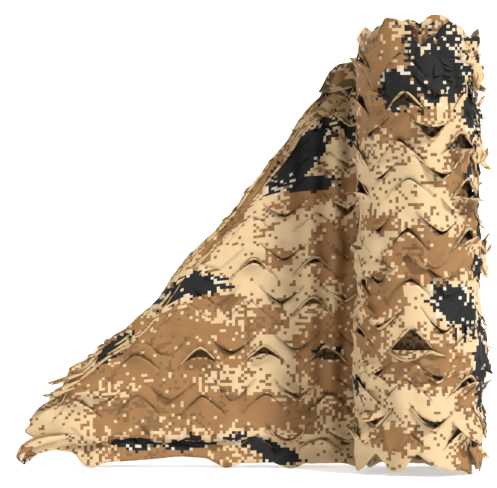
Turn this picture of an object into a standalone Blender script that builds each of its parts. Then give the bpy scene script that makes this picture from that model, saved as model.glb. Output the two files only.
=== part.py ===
"""Camouflage netting: leaf-cut cloth, folded once along its length and wound into a roll.

The roll stands on its end. Its loose end leaves the back of the roll and stands beside it like a
narrow tent: a front layer, a soft ridge that falls away to the left, and a back layer.
Metres, +Z up, with the origin on the floor under the middle of the whole thing.
"""

import math
from collections import namedtuple

import bmesh
import bpy
import numpy as np
from mathutils import Vector
from mathutils.geometry import delaunay_2d_cdt

# The cloth and its leaf cuts: each row has leaves that hang and leaves that stand, by turns
CLOTH = 0.002
LEAF_PITCH = 0.110
ROW_PITCH = 0.0775
LEAF_SPAN = 0.088
LEAF_DEPTH = 0.030
LEAF_ROUND = 0.28
CUT_STEPS = 6
HANGING, STANDING = 1, -1
Leaf = namedtuple("Leaf", "along up way lift gap")

# Hems and ends are cut to the same leaf shape
EDGE_DEPTH = 0.026
EDGE_STEPS = 8
EDGE_MARGIN = 0.010
SAME_POINT = 0.00002

# The roll, and its rows of leaves
ROLL_X = 0.2716
ROLL_Y = -0.0074
ROLL_RADIUS = 0.105
ROLL_HEIGHT = 0.738
ROLL_OVAL = 0.002
ROLL_FIRST_ROW = 0.0945
ROLL_LEAF_PHASE = 0.0605
ROLL_EDGE_PHASE = 0.0300
ROLL_SPACING = 0.036

# The outer turn starts at a low step at the back, where the loose end leaves the roll
STEP_ANGLE = math.radians(12)
STEP_HEIGHT = 0.0060
STEP_WALL = 0.0015
COVERED = 0.112
SIDE_POINTS = 22

# How far the boldest flaps reach, and how far the top edge dips, at an angle round the roll
Bearing = namedtuple("Bearing", "degrees flap dip")
BEARINGS = (
    Bearing(degrees=0, flap=0.004, dip=0.004),
    Bearing(degrees=60, flap=0.010, dip=0.000),
    Bearing(degrees=95, flap=0.013, dip=0.008),
    Bearing(degrees=130, flap=0.010, dip=0.000),
    Bearing(degrees=200, flap=0.006, dip=0.014),
    Bearing(degrees=270, flap=0.006, dip=0.010),
    Bearing(degrees=360, flap=0.004, dip=0.004),
)

# The turns that show in the roll's top end, from the outer edge inwards: each ring lies further
# in by its inset, at its height, and a crest rises and falls by its scallop, so many times round
Ring = namedtuple("Ring", "inset height scallop waves turned")
TOP_RINGS = (
    Ring(inset=0.0110, height=0.690, scallop=0.000, waves=0, turned=0.0),
    Ring(inset=0.0070, height=0.736, scallop=0.024, waves=5, turned=0.4),
    Ring(inset=0.0025, height=0.735, scallop=0.024, waves=5, turned=0.4),
    Ring(inset=0.0095, height=0.688, scallop=0.000, waves=0, turned=0.0),
    Ring(inset=0.0080, height=0.730, scallop=0.020, waves=4, turned=1.1),
    Ring(inset=0.0025, height=0.729, scallop=0.020, waves=4, turned=1.1),
    Ring(inset=0.0120, height=0.685, scallop=0.000, waves=0, turned=0.0),
    Ring(inset=0.0100, height=0.722, scallop=0.014, waves=3, turned=0.2),
    Ring(inset=0.0030, height=0.721, scallop=0.014, waves=3, turned=0.2),
    Ring(inset=0.0120, height=0.680, scallop=0.000, waves=0, turned=0.0),
)
FOOT_RINGS = (Ring(inset=0.0050, height=0.0, scallop=0.0, waves=0, turned=0.0),)
LIP = 0.0025

# The loose end, at stations measured leftwards from the roll's axis: the ridge's height, and how
# far behind the axis its front and back layers stand
Station = namedtuple("Station", "left ridge front back")
STATIONS = (
    Station(left=-0.018, ridge=0.722, front=0.1068, back=0.1128),
    Station(left=0.010, ridge=0.718, front=0.1068, back=0.1130),
    Station(left=0.060, ridge=0.698, front=0.1015, back=0.1180),
    Station(left=0.104, ridge=0.672, front=0.0880, back=0.1200),
    Station(left=0.163, ridge=0.612, front=0.0780, back=0.1230),
    Station(left=0.223, ridge=0.532, front=0.0720, back=0.1240),
    Station(left=0.295, ridge=0.436, front=0.0700, back=0.1230),
    Station(left=0.393, ridge=0.332, front=0.0720, back=0.1210),
    Station(left=0.471, ridge=0.244, front=0.0740, back=0.1200),
    Station(left=0.543, ridge=0.184, front=0.0760, back=0.1190),
    Station(left=0.618, ridge=0.126, front=0.0800, back=0.1160),
    Station(left=0.680, ridge=0.070, front=0.0840, back=0.1120),
)
SHEET_START = -0.016
SHEET_END = 0.650
SHEET_SPACING = 0.034
FULLY_OPEN = 0.036

# The section across one layer: hem, crease, upright leg and its half of the rounded ridge
HEM_FLARE = 0.011
CREASE_HEIGHT = 0.046
CREASE_DEPTH = 0.010
RIDGE_RISE = 0.055
RIDGE_LEAF_DEPTH = 0.008
RIDGE_LEAF_PITCH = 0.047
SECTION_COUNT = 90

# Spare cloth is eased in just below the ridge, so that the rows droop as they near it
RIDGE_EASE = 0.034
EASE_REACH = 0.060
RIDGE_LEAF_REACH = 0.050
RIDGE_LEAF_LIFT = 0.007

# Soft upright pleats beside the roll, and slow waves further out
PLEAT_DEPTH = 0.006
PLEAT_WIDTH = 0.039
PLEATS_AT = 0.150
PLEATS_REACH = 0.050
WAVE_DEPTH = 0.004

# The two layers: the side that each faces, its crease, its lowest row of leaves, and where its
# leaves, its hem's points and its end's points fall
Layer = namedtuple("Layer", "name faces crease first_row leaf_phase hem_phase end_phase seed")
LAYERS = (
    Layer("front", faces=-1, crease=1.0, first_row=0.0405, leaf_phase=0.108, hem_phase=0.105,
          end_phase=0.066, seed=11),
    Layer("back", faces=1, crease=0.0, first_row=0.0790, leaf_phase=0.070, hem_phase=0.072,
          end_phase=0.020, seed=12),
)


# ---------------------------------------------------------------- leaf-cut cloth, laid flat


def column(rows, key, name, at):
    """A column of a table, read at any value of its key column, smooth through its rows."""
    knots = np.array([getattr(row, key) for row in rows], float)
    values = np.array([getattr(row, name) for row in rows], float)
    slopes = np.gradient(values, knots)
    at = np.clip(np.asarray(at, float), knots[0], knots[-1])
    i = np.clip(np.searchsorted(knots, at) - 1, 0, len(knots) - 2)
    width = knots[i + 1] - knots[i]
    t = (at - knots[i]) / width
    blend = t * t * (3 - 2 * t)
    lean = slopes[i] * t * (1 - t) ** 2 - slopes[i + 1] * t * t * (1 - t)
    return values[i] * (1 - blend) + values[i + 1] * blend + lean * width


def rounded_v(t):
    """A V with a rounded point: 0 at t = 0, and 1 at t = -1 and 1."""
    return (np.hypot(t, LEAF_ROUND) - LEAF_ROUND) / (math.hypot(1, LEAF_ROUND) - LEAF_ROUND)


def leaf_edge(along, phase):
    """How far a leaf-cut edge of the net draws back from the line through its tips."""
    turn = (along - phase) / LEAF_PITCH
    return EDGE_DEPTH * rounded_v(2 * (turn - np.round(turn)))


def leaf_cut(leaf):
    """The free edge of a leaf, and the edge that it was cut from, both from end to end."""
    t = np.linspace(-1, 1, CUT_STEPS + 1)
    along = leaf.along + t * LEAF_SPAN / 2
    free = leaf.up + leaf.way * LEAF_DEPTH * rounded_v(t)
    left_behind = free - leaf.way * leaf.gap * (1 - t * t)
    return np.column_stack([along, free]), np.column_stack([along, left_behind])


def inside(points, loop):
    """Which points lie inside a closed loop."""
    result = np.zeros(len(points), bool)
    for a, b in zip(loop, np.roll(loop, -1, axis=0)):
        spans = (a[1] > points[:, 1]) != (b[1] > points[:, 1])
        rise = b[1] - a[1] if b[1] != a[1] else 1.0
        result ^= spans & (points[:, 0] < a[0] + (points[:, 1] - a[1]) * (b[0] - a[0]) / rise)
    return result


def away_from(points, others, distance):
    """Which points keep a distance from all the others."""
    return np.linalg.norm(points[:, None] - others[None], axis=2).min(axis=1) > distance


def leaves_within(outline, first_row, phase, seed, bold):
    """Every leaf whose cut stays clear of the outline; bold says how far a leaf may stand out."""
    draw = np.random.default_rng(seed)
    half = LEAF_PITCH / 2
    low, high = outline.min(axis=0), outline.max(axis=0)
    kept = []
    for up in np.arange(first_row, high[1], ROW_PITCH):
        for step in range(math.ceil((low[0] - phase) / half), math.floor((high[0] - phase) / half) + 1):
            along = phase + step * half
            lift = draw.uniform(0.003, 0.007) + bold(along, up) * draw.uniform(0, 1) ** 2
            gap = draw.uniform(0.0055, 0.0085)
            leaf = Leaf(along, up, STANDING if step % 2 else HANGING, lift, gap)
            ring = np.vstack(leaf_cut(leaf))
            if inside(ring, outline).all() and away_from(ring, outline, EDGE_MARGIN).all():
                kept.append(leaf)
    return kept


def cut_cloth(outline, leaves, spacing, line=None, open_cuts=True):
    """The cloth laid flat: its points, its triangles, and how far each point stands out."""
    loops = [outline]
    lifts = [np.zeros(len(outline))]
    fringe = np.sin(np.linspace(0, math.pi, CUT_STEPS + 1)) ** 0.7
    for leaf in leaves:
        free, left_behind = leaf_cut(leaf)
        loops.append(np.vstack([free, left_behind[-2:0:-1]]))
        lifts.append(np.concatenate([leaf.lift * fringe, np.zeros(CUT_STEPS - 1)]))
    starts = np.cumsum([0] + [len(loop) for loop in loops])
    edges = []
    for start, loop in zip(starts, loops):
        edges += [(start + i, start + (i + 1) % len(loop)) for i in range(len(loop))]
    fixed = np.vstack(loops)
    if line is not None:
        edges += [(len(fixed) + i, len(fixed) + i + 1) for i in range(len(line) - 1)]
        fixed = np.vstack([fixed, line])
    low, high = outline.min(axis=0), outline.max(axis=0)
    across = np.arange(low[0] + spacing / 2, high[0], spacing)
    upward = np.arange(low[1] + spacing / 2, high[1], spacing * math.cos(math.pi / 6))
    grid = np.array([(x + (j % 2) * spacing / 2, y) for j, y in enumerate(upward) for x in across])
    grid = grid[inside(grid, outline)]
    grid = grid[away_from(grid, fixed, spacing * 0.45)]
    points = np.vstack([fixed, grid])
    lift = np.zeros(len(points))
    lift[: starts[-1]] = np.concatenate(lifts)
    made = delaunay_2d_cdt([Vector(point) for point in points], edges, [], 0, 1e-7, True)
    flat = np.array([tuple(point) for point in made[0]])
    lift = np.array([max(lift[k] for k in source) if source else 0.0 for source in made[3]])
    faces = np.array(made[2])
    middles = flat[faces].mean(axis=1)
    keep = inside(middles, outline)
    for loop in loops[1:] if open_cuts else []:
        near = keep & (np.abs(middles - loop.mean(axis=0)).max(axis=1) < LEAF_SPAN)
        keep[near] = ~inside(middles[near], loop)
    return flat, faces[keep], lift


def add_faces(build, points, faces):
    """Adds placed triangles to a mesh under construction, without the points that none uses."""
    verts = {i: build.verts.new(points[i]) for i in sorted(set(faces.ravel()))}
    for face in faces:
        build.faces.new([verts[i] for i in face])


def finish_object(name, build, collection, colour):
    """A named mesh object with its own cloth material."""
    mesh = bpy.data.meshes.new(name)
    build.to_mesh(mesh)
    build.free()
    obj = bpy.data.objects.new(name, mesh)
    collection.objects.link(obj)
    material = bpy.data.materials.new(name)
    material.use_nodes = True
    shader = material.node_tree.nodes["Principled BSDF"]
    shader.inputs["Base Color"].default_value = (*colour, 1.0)
    shader.inputs["Roughness"].default_value = 0.8
    shader.inputs["Metallic"].default_value = 0.0
    mesh.materials.append(material)
    return obj


# ---------------------------------------------------------------- the loose end


def pleats(left, up):
    """How far a point is pushed back by the pleats beside the roll and the waves further out."""
    beside_roll = np.exp(-(((left - PLEATS_AT) / PLEATS_REACH) ** 2)) * np.clip(up / 0.25, 0, 1)
    fold = PLEAT_DEPTH * beside_roll * np.sin(math.tau * left / PLEAT_WIDTH + up * 3)
    clear_of_roll = np.clip((left - 0.030) / 0.090, 0, 1)
    wave = WAVE_DEPTH * np.sin(left * 17 + up * 9) * np.clip(up / 0.10, 0, 1)
    return fold + wave * clear_of_roll


def ridge_leaves(left):
    """How far the leaves that stand along the ridge raise or lower its outline."""
    turn = left / RIDGE_LEAF_PITCH
    return RIDGE_LEAF_DEPTH * (0.5 - float(rounded_v(2 * (turn - round(turn)))))


def half_section(layer, left):
    """One layer's line at a station, as (y, z) points from its hem up to the ridge."""
    ridge = float(column(STATIONS, "left", "ridge", left)) + ridge_leaves(left)
    front = float(column(STATIONS, "left", "front", left))
    back = float(column(STATIONS, "left", "back", left))
    half = (back - front) / 2
    spread = float(np.clip(2 * half / FULLY_OPEN, 0, 1)) ** 2
    crease = min(CREASE_HEIGHT, 0.4 * ridge)
    nook = CREASE_DEPTH * spread * layer.crease
    rise = min(RIDGE_RISE, 0.45 * ridge) * (0.25 + 0.75 * spread)
    height = np.array([0.0, 0.3, 0.6, 0.85, 1.0, 1.15, 1.5, 2.2]) * crease
    out = np.array([1.0, 0.72, 0.40, 0.12, 0.0, 0.0, 0.0, 0.0]) * HEM_FLARE * spread
    out += np.array([0.0, -0.05, -0.2, -0.35, -0.5, 0.55, 0.75, 0.0]) * nook
    low = np.column_stack([half + out, height])
    upright = np.linspace(crease * 2.2, ridge - rise, 16)[1:]
    leg = np.column_stack([np.full(15, half), upright])
    turn = np.linspace(0, math.pi / 2, 12)[1:]
    cap = np.column_stack([half * np.cos(turn), ridge - rise + rise * np.sin(turn)])
    line = np.vstack([low, leg, cap])
    line[:, 0] = (front + back) / 2 + layer.faces * line[:, 0]
    return line


class Drape:
    """Carries a layer's flat cloth points to their places in the standing tent."""

    def __init__(self, layer):
        self.layer = layer
        self.left = np.linspace(SHEET_START - 0.004, SHEET_END + 0.040, SECTION_COUNT)
        self.lines = [half_section(layer, left) for left in self.left]
        steps = [np.linalg.norm(np.diff(line, axis=0), axis=1) for line in self.lines]
        self.runs = [np.append(0.0, np.cumsum(step)) for step in steps]
        self.length = np.array([run[-1] for run in self.runs])

    def ease(self, left):
        """The spare cloth taken in below the ridge, which a low ridge has less of."""
        return RIDGE_EASE * np.clip(column(STATIONS, "left", "ridge", left) / 0.25, 0, 1)

    def width(self, left):
        """The cloth's width from hem to ridge at a station."""
        return np.interp(left, self.left, self.length) + self.ease(left)

    def place(self, left, across):
        """World points for arrays of flat cloth points."""
        width = self.width(left)
        length = width - self.ease(left)
        below = np.exp(-np.clip(length - across, 0, None) / EASE_REACH)
        foot = np.exp(-length / EASE_REACH)
        share = (across - self.ease(left) * (below - foot) / (1 - foot)) / length
        position = np.interp(left, self.left, np.arange(len(self.left)))
        first = np.clip(position.astype(int), 0, len(self.left) - 2)
        points = np.empty((len(left), 3))
        for k, i in enumerate(first):
            ends = []
            for j in (i, i + 1):
                run = share[k] * self.length[j]
                ends.append([np.interp(run, self.runs[j], self.lines[j][:, axis]) for axis in (0, 1)])
            blend = position[k] - i
            points[k, 1:] = (1 - blend) * np.array(ends[0]) + blend * np.array(ends[1])
        points[:, 0] = ROLL_X - left
        points[:, 1] += ROLL_Y + pleats(left, points[:, 2])
        return points

    def outward(self, left, across):
        """Directions out of the tent, by small steps along and across the cloth."""
        step = 0.004
        across = np.clip(across, step, self.width(left) - 2 * step)
        along = self.place(left + step, across) - self.place(left - step, across)
        up = self.place(left, across + step) - self.place(left, across - step)
        out = np.cross(up, along) * self.layer.faces
        return out / np.linalg.norm(out, axis=1)[:, None]


def layer_outline(drape):
    """A layer's edges: the hem, the leaf-cut end, the ridge, and the line at the roll."""
    layer = drape.layer
    step = LEAF_PITCH / EDGE_STEPS
    hem = np.arange(SHEET_START, SHEET_END, step)
    bottom = np.column_stack([hem, leaf_edge(hem, layer.hem_phase)])
    top = np.column_stack([hem, drape.width(hem)])[::-1]
    across = np.arange(bottom[-1, 1] + step, top[0, 1], step)
    fade = np.clip((top[0, 1] - across) / step, 0, 1)
    reach = EDGE_DEPTH - leaf_edge(across, layer.end_phase)
    end = np.column_stack([hem[-1] + fade * reach, across])
    side = np.linspace(top[-1, 1], bottom[0, 1], SIDE_POINTS + 2)[1:-1]
    start = np.column_stack([np.full(SIDE_POINTS, SHEET_START), side])
    return np.vstack([bottom, end, top, start])


def build_sheet(collection):
    """The loose end: both layers cut, draped, joined along the ridge and given their thickness."""
    build = bmesh.new()
    for layer in LAYERS:
        drape = Drape(layer)
        outline = layer_outline(drape)

        def bold(along, up):
            near_ridge = drape.width(along) - up < LEAF_DEPTH + RIDGE_LEAF_REACH
            return 0.006 + RIDGE_LEAF_LIFT * near_ridge

        leaves = leaves_within(outline, layer.first_row, layer.leaf_phase, layer.seed, bold)
        flat, faces, lift = cut_cloth(outline, leaves, SHEET_SPACING)
        points = drape.place(flat[:, 0], flat[:, 1])
        points += drape.outward(flat[:, 0], flat[:, 1]) * lift[:, None]
        add_faces(build, points, faces)
        print(f"leaves cut through the {layer.name} layer: {len(leaves)}")
    bmesh.ops.remove_doubles(build, verts=build.verts, dist=SAME_POINT)
    bmesh.ops.recalc_face_normals(build, faces=build.faces)
    sheet = finish_object("loose_sheet", build, collection, (0.60, 0.44, 0.28))
    shell = sheet.modifiers.new("Cloth", "SOLIDIFY")
    shell.thickness = CLOTH
    shell.offset = 0.0
    seated = bpy.data.meshes.new_from_object(sheet.evaluated_get(bpy.context.evaluated_depsgraph_get()))
    sheet.modifiers.remove(shell)
    sheet.data = seated
    for vert in seated.vertices:
        vert.co.z = max(vert.co.z, 0.0)
    return sheet


# ---------------------------------------------------------------- the roll


def bearing(along, name):
    """A column of the roll's bearings, at a distance along its outer turn."""
    return column(BEARINGS, "degrees", name, np.degrees(np.asarray(along) / ROLL_RADIUS))


def roll_radius(along, up):
    """The roll's radius: it winds in from the step at its back, and is a little lumpy."""
    angle = along / ROLL_RADIUS
    away = np.clip(np.minimum(angle, math.tau - angle) / 1.3, 0, 1) ** 2
    wound = STEP_HEIGHT * (1 - angle / math.tau) * np.clip(along / STEP_WALL, 0, 1)
    oval = ROLL_OVAL * np.cos(2 * angle - 0.6)
    lumps = 0.0022 * np.sin(3 * angle + up * 7) + 0.0018 * np.sin(5 * angle - up * 13)
    return ROLL_RADIUS + wound + away * (oval + lumps)


def roll_place(along, up, radius):
    """World points round the roll, clockwise seen from above, from the step at its back."""
    angle = STEP_ANGLE + along / ROLL_RADIUS
    return np.column_stack([ROLL_X + radius * np.sin(angle), ROLL_Y + radius * np.cos(angle), up])


def roll_outline(turn):
    """The outer turn laid flat: leaf-cut hem and top edge, and matching ends at the step."""
    hem = np.append(np.arange(0, turn - 0.004, LEAF_PITCH / EDGE_STEPS), turn)
    foot = leaf_edge(hem, ROLL_EDGE_PHASE)
    head = ROLL_HEIGHT - bearing(hem, "dip") - leaf_edge(hem, ROLL_EDGE_PHASE + LEAF_PITCH / 2)
    foot[-1], head[-1] = foot[0], head[0]
    side = np.linspace(foot[-1], head[-1], SIDE_POINTS + 2)[1:-1]
    far_end = np.column_stack([np.full(SIDE_POINTS, turn), side])
    near_end = np.column_stack([np.zeros(SIDE_POINTS), side[::-1]])
    bottom = np.column_stack([hem, foot])
    top = np.column_stack([hem, head])[::-1]
    return np.vstack([bottom, far_end, top, near_end])


def draw_in(build, rim, inset, level):
    """Carries a rim of the roll inwards by one ring, and returns the new rim."""
    made = bmesh.ops.extrude_edge_only(build, edges=rim)["geom"]
    for vert in (item for item in made if isinstance(item, bmesh.types.BMVert)):
        out = Vector((vert.co.x - ROLL_X, vert.co.y - ROLL_Y))
        scale = 1 - inset / out.length
        height = level(vert.co.z, math.atan2(out.x, out.y))
        vert.co = (ROLL_X + out.x * scale, ROLL_Y + out.y * scale, height)
    return [item for item in made if isinstance(item, bmesh.types.BMEdge) and item.is_boundary]


def close_end(build, rim, rings):
    """Closes an end of the roll: the outer turn's lip, then its rings, then the core."""
    rim = draw_in(build, rim, LIP, lambda height, angle: height)
    for ring in rings:

        def level(height, angle, ring=ring):
            return ring.height - ring.scallop * abs(math.sin(ring.waves * angle / 2 + ring.turned))

        rim = draw_in(build, rim, ring.inset, level)
    bmesh.ops.holes_fill(build, edges=rim, sides=0)


def build_roll(collection):
    """The wound net as one solid: leaves raised on its skin, turns raised on its top end."""
    turn = ROLL_RADIUS * math.tau
    outline = roll_outline(turn)
    shown = outline.copy()
    shown[:, 0] = np.minimum(shown[:, 0], turn - COVERED + LEAF_SPAN / 2)

    def bold(along, up):
        return float(bearing(along, "flap"))

    leaves = leaves_within(shown, ROLL_FIRST_ROW, ROLL_LEAF_PHASE, 5, bold)
    wall = outline[-SIDE_POINTS:] + (STEP_WALL, 0)
    flat, faces, lift = cut_cloth(outline, leaves, ROLL_SPACING, line=wall, open_cuts=False)
    radius = roll_radius(flat[:, 0], flat[:, 1]) + lift
    build = bmesh.new()
    add_faces(build, roll_place(flat[:, 0], flat[:, 1], radius), faces)
    bmesh.ops.remove_doubles(build, verts=build.verts, dist=SAME_POINT)
    open_edges = [edge for edge in build.edges if edge.is_boundary]
    top = [edge for edge in open_edges if edge.verts[0].co.z > ROLL_HEIGHT / 2]
    foot = [edge for edge in open_edges if edge.verts[0].co.z < ROLL_HEIGHT / 2]
    close_end(build, top, TOP_RINGS)
    close_end(build, foot, FOOT_RINGS)
    bmesh.ops.recalc_face_normals(build, faces=build.faces)
    print("leaves raised on the roll:", len(leaves))
    return finish_object("wound_roll", build, collection, (0.72, 0.58, 0.38))


def main():
    for obj in list(bpy.data.objects):
        bpy.data.objects.remove(obj, do_unlink=True)
    collection = bpy.data.collections.new("camouflage_netting")
    bpy.context.scene.collection.children.link(collection)
    build_sheet(collection)
    build_roll(collection)


main()
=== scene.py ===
# %% [markdown]
# # Camouflage netting, part rolled
#
# Leaf-cut netting is one wide strip of printed polyester cloth. A die cuts rows of leaf-shaped slits
# in it, so that the cloth stretches into a net and its leaves stand away from it. Here the strip is
# folded once along its length and wound into a roll that stands on its end. The loose end leans
# beside the roll like a narrow tent.
#
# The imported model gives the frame: two solids, `wound_roll` and `loose_sheet`. They are right for
# weight and collision, but they are plain, so every surface below is made again as thin cloth that
# lies where those solids are.

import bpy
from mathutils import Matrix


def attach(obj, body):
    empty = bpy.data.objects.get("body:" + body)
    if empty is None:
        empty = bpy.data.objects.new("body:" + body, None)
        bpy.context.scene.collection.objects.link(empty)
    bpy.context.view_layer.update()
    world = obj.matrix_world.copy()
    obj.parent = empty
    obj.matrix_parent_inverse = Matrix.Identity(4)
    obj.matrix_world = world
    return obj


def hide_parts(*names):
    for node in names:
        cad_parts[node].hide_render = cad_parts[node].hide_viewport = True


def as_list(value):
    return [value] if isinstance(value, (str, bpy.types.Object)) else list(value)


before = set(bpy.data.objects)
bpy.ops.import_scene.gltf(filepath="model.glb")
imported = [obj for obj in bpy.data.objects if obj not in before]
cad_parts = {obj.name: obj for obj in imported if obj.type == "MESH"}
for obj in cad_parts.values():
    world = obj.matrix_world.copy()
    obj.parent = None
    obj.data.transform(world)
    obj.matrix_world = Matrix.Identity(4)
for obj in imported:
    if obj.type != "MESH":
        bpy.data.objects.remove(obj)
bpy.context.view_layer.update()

# %% Modules, and a helper for tables
import math
from collections import namedtuple

import bmesh
import bpy
import numpy as np
from mathutils import Vector
from mathutils.geometry import delaunay_2d_cdt
from mathutils.kdtree import KDTree


def table(kind, *rows):
    """Rows of values as named tuples, so that a table names its columns only once."""
    return [kind(*row) for row in rows]


# %% [markdown]
# ## The cut pattern
#
# Each row of the die has leaves that hang (a slit like a U) and leaves that stand (the same slit
# turned over), by turns. A leaf is a rounded V. A hyperbola gives that shape with one number for how
# round its point is, which is easier to steer than a spline with handles.
#
# `gap` is how wide the slit gapes. `bend` says how far the leaf curls out of the cloth, in degrees
# at its tip, and `crisp` whether it bends evenly (0) or folds over at its root (1). `skew` bends one
# side of it more than the other, and `lip` is how far the cloth beside the slit swells out.

# %% Sizes of the cut pattern
LEAF_PITCH = 0.105
ROW_PITCH = 0.0775
LEAF_SPAN = 0.087
SHEET_LEAF_DEPTH = 0.033
ROLL_LEAF_DEPTH = 0.039
LEAF_ROUND = 0.15
CUT_STEPS = 22
EDGE_DEPTH = 0.026
EDGE_STEPS = 28
EDGE_MARGIN = 0.006
HANGING, STANDING = 1, -1
Leaf = namedtuple("Leaf", "along up way span depth gap bend crisp skew lip")


def rounded_v(t):
    """A V with a rounded point: 0 at t = 0, and 1 at t = -1 and 1."""
    return (np.hypot(t, LEAF_ROUND) - LEAF_ROUND) / (math.hypot(1, LEAF_ROUND) - LEAF_ROUND)


def leaf_edge(along, phase):
    """How far a leaf-cut edge of the net draws back from the line through its tips."""
    turn = (along - phase) / LEAF_PITCH
    return EDGE_DEPTH * rounded_v(2 * (turn - np.round(turn)))


def leaf_cut(leaf):
    """The free edge of a leaf, and the lip that it was cut from, both from end to end."""
    t = np.linspace(-1, 1, CUT_STEPS + 1)
    along = leaf.along + t * leaf.span / 2
    free = leaf.up + leaf.way * leaf.depth * rounded_v(t)
    lip = free - leaf.way * leaf.gap * (1 - t * t)
    return np.column_stack([along, free]), np.column_stack([along, lip])


print(f"a leaf is {LEAF_SPAN * 1000:.0f} mm wide, and its row has one every {LEAF_PITCH * 1000:.0f} mm")

# %% [markdown]
# ## Laying the cloth out flat
#
# The cloth is first meshed flat, as it is cut, and only then carried to its place. That keeps the
# flat coordinates for the print, and makes sure that the cloth never stretches by accident. A
# constrained Delaunay triangulation joins a staggered grid of points with every cut edge kept.

# %% Points inside a loop, and away from others


def inside(points, loop):
    """Which points lie inside a closed loop."""
    result = np.zeros(len(points), bool)
    for a, b in zip(loop, np.roll(loop, -1, axis=0)):
        spans = (a[1] > points[:, 1]) != (b[1] > points[:, 1])
        rise = b[1] - a[1] if b[1] != a[1] else 1.0
        result ^= spans & (points[:, 0] < a[0] + (points[:, 1] - a[1]) * (b[0] - a[0]) / rise)
    return result


def away_from(points, others, distance):
    """Which points keep a distance from all the others."""
    tree = KDTree(len(others))
    for i, other in enumerate(others):
        tree.insert((other[0], other[1], 0.0), i)
    tree.balance()
    return np.array([tree.find((x, y, 0.0))[2] > distance for x, y in points], bool)


# %% The leaves of one piece
Row = namedtuple("Row", "level hanging")
Habit = namedtuple("Habit", "seed calm lively bold lively_share bold_share")
ALONG_STRAY, LEVEL_STRAY = 0.002, 0.003
CALM_SINK = 0.4
LEAST_GAP, MORE_GAP, GAP_POWER = 0.0012, 0.0050, 1.4
OPEN_GAP, OPEN_BEND = 0.0058, 20
MOST_SKEW, LIP_SPREAD = 1.1, 0.0016
SPAN_SHARES, DEPTH_SHARES = (0.86, 1.02), (0.80, 1.06)
CHOSEN_ALONG, CHOSEN_UP = 0.45, 0.3


def drawn_bend(habit, share, size):
    """How far a leaf curls: most are calm, some lively, and a few bold."""
    if share < habit.bold_share:
        return habit.lively + (habit.bold - habit.lively) * size
    if share < habit.bold_share + habit.lively_share:
        return habit.calm + (habit.lively - habit.calm) * size
    return habit.calm * ((1 + CALM_SINK) * size - CALM_SINK)


def leaves_within(outline, rows, depth, habit, chosen=(), busy=None):
    """Every leaf of some rows whose cut stays clear of the outline.

    A row's `hanging` is the place of one of its hanging leaves. A leaf's curl is drawn from the
    habit's shares, unless it is near a chosen one, and a busy place curls more.
    """
    draw = np.random.default_rng(habit.seed)
    half = LEAF_PITCH / 2
    low, high = outline.min(axis=0), outline.max(axis=0)
    kept = []
    for row in rows:
        first = math.ceil((low[0] - row.hanging) / half)
        last = math.floor((high[0] - row.hanging) / half)
        for step in range(first, last + 1):
            along = row.hanging + step * half + draw.uniform(-ALONG_STRAY, ALONG_STRAY)
            level = row.level + draw.uniform(-LEVEL_STRAY, LEVEL_STRAY)
            share, size, crisp = draw.uniform(0, 1, 3)
            share /= 1 if busy is None else busy(along, level)
            bend = drawn_bend(habit, share, size)
            gap = LEAST_GAP + MORE_GAP * draw.uniform(0, 1) ** GAP_POWER
            skew, lip = draw.uniform(-MOST_SKEW, MOST_SKEW), draw.normal(0, LIP_SPREAD)
            span, deep = LEAF_SPAN * draw.uniform(*SPAN_SHARES), depth * draw.uniform(*DEPTH_SHARES)
            for one in chosen:
                beside = abs(one.along - along) < half * CHOSEN_ALONG
                if beside and abs(one.up - level) < ROW_PITCH * CHOSEN_UP:
                    bend, crisp, skew = one.bend, one.crisp, one.skew
                    gap = max(gap, OPEN_GAP if bend > OPEN_BEND else 0.0)
            way = STANDING if step % 2 else HANGING
            leaf = Leaf(along, level, way, span, deep, gap, bend, crisp, skew, lip)
            ring = np.vstack(leaf_cut(leaf))
            if inside(ring, outline).all() and away_from(ring, outline, EDGE_MARGIN).all():
                kept.append(leaf)
    return kept


# %% Points between the cuts


def staggered_grid(outline, spacing):
    """Points inside an outline, every second row of them half a step along."""
    low, high = outline.min(axis=0), outline.max(axis=0)
    across = np.arange(low[0] + spacing / 2, high[0], spacing)
    upward = np.arange(low[1] + spacing / 2, high[1], spacing * math.cos(math.pi / 6))
    grid = np.array([(x + (j % 2) * spacing / 2, y) for j, y in enumerate(upward) for x in across])
    return grid[inside(grid, outline)]


def near_leaf(points, leaf):
    """Which points are near enough to a leaf to be tested against it."""
    return np.flatnonzero(np.abs(points - (leaf.along, leaf.up)).max(axis=1) < LEAF_SPAN)


# %% The flat mesh
Flat = namedtuple("Flat", "points faces leaf leaves")
CLEAR_OF_CUTS = 0.5
SAME_POINT = 1e-7


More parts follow.
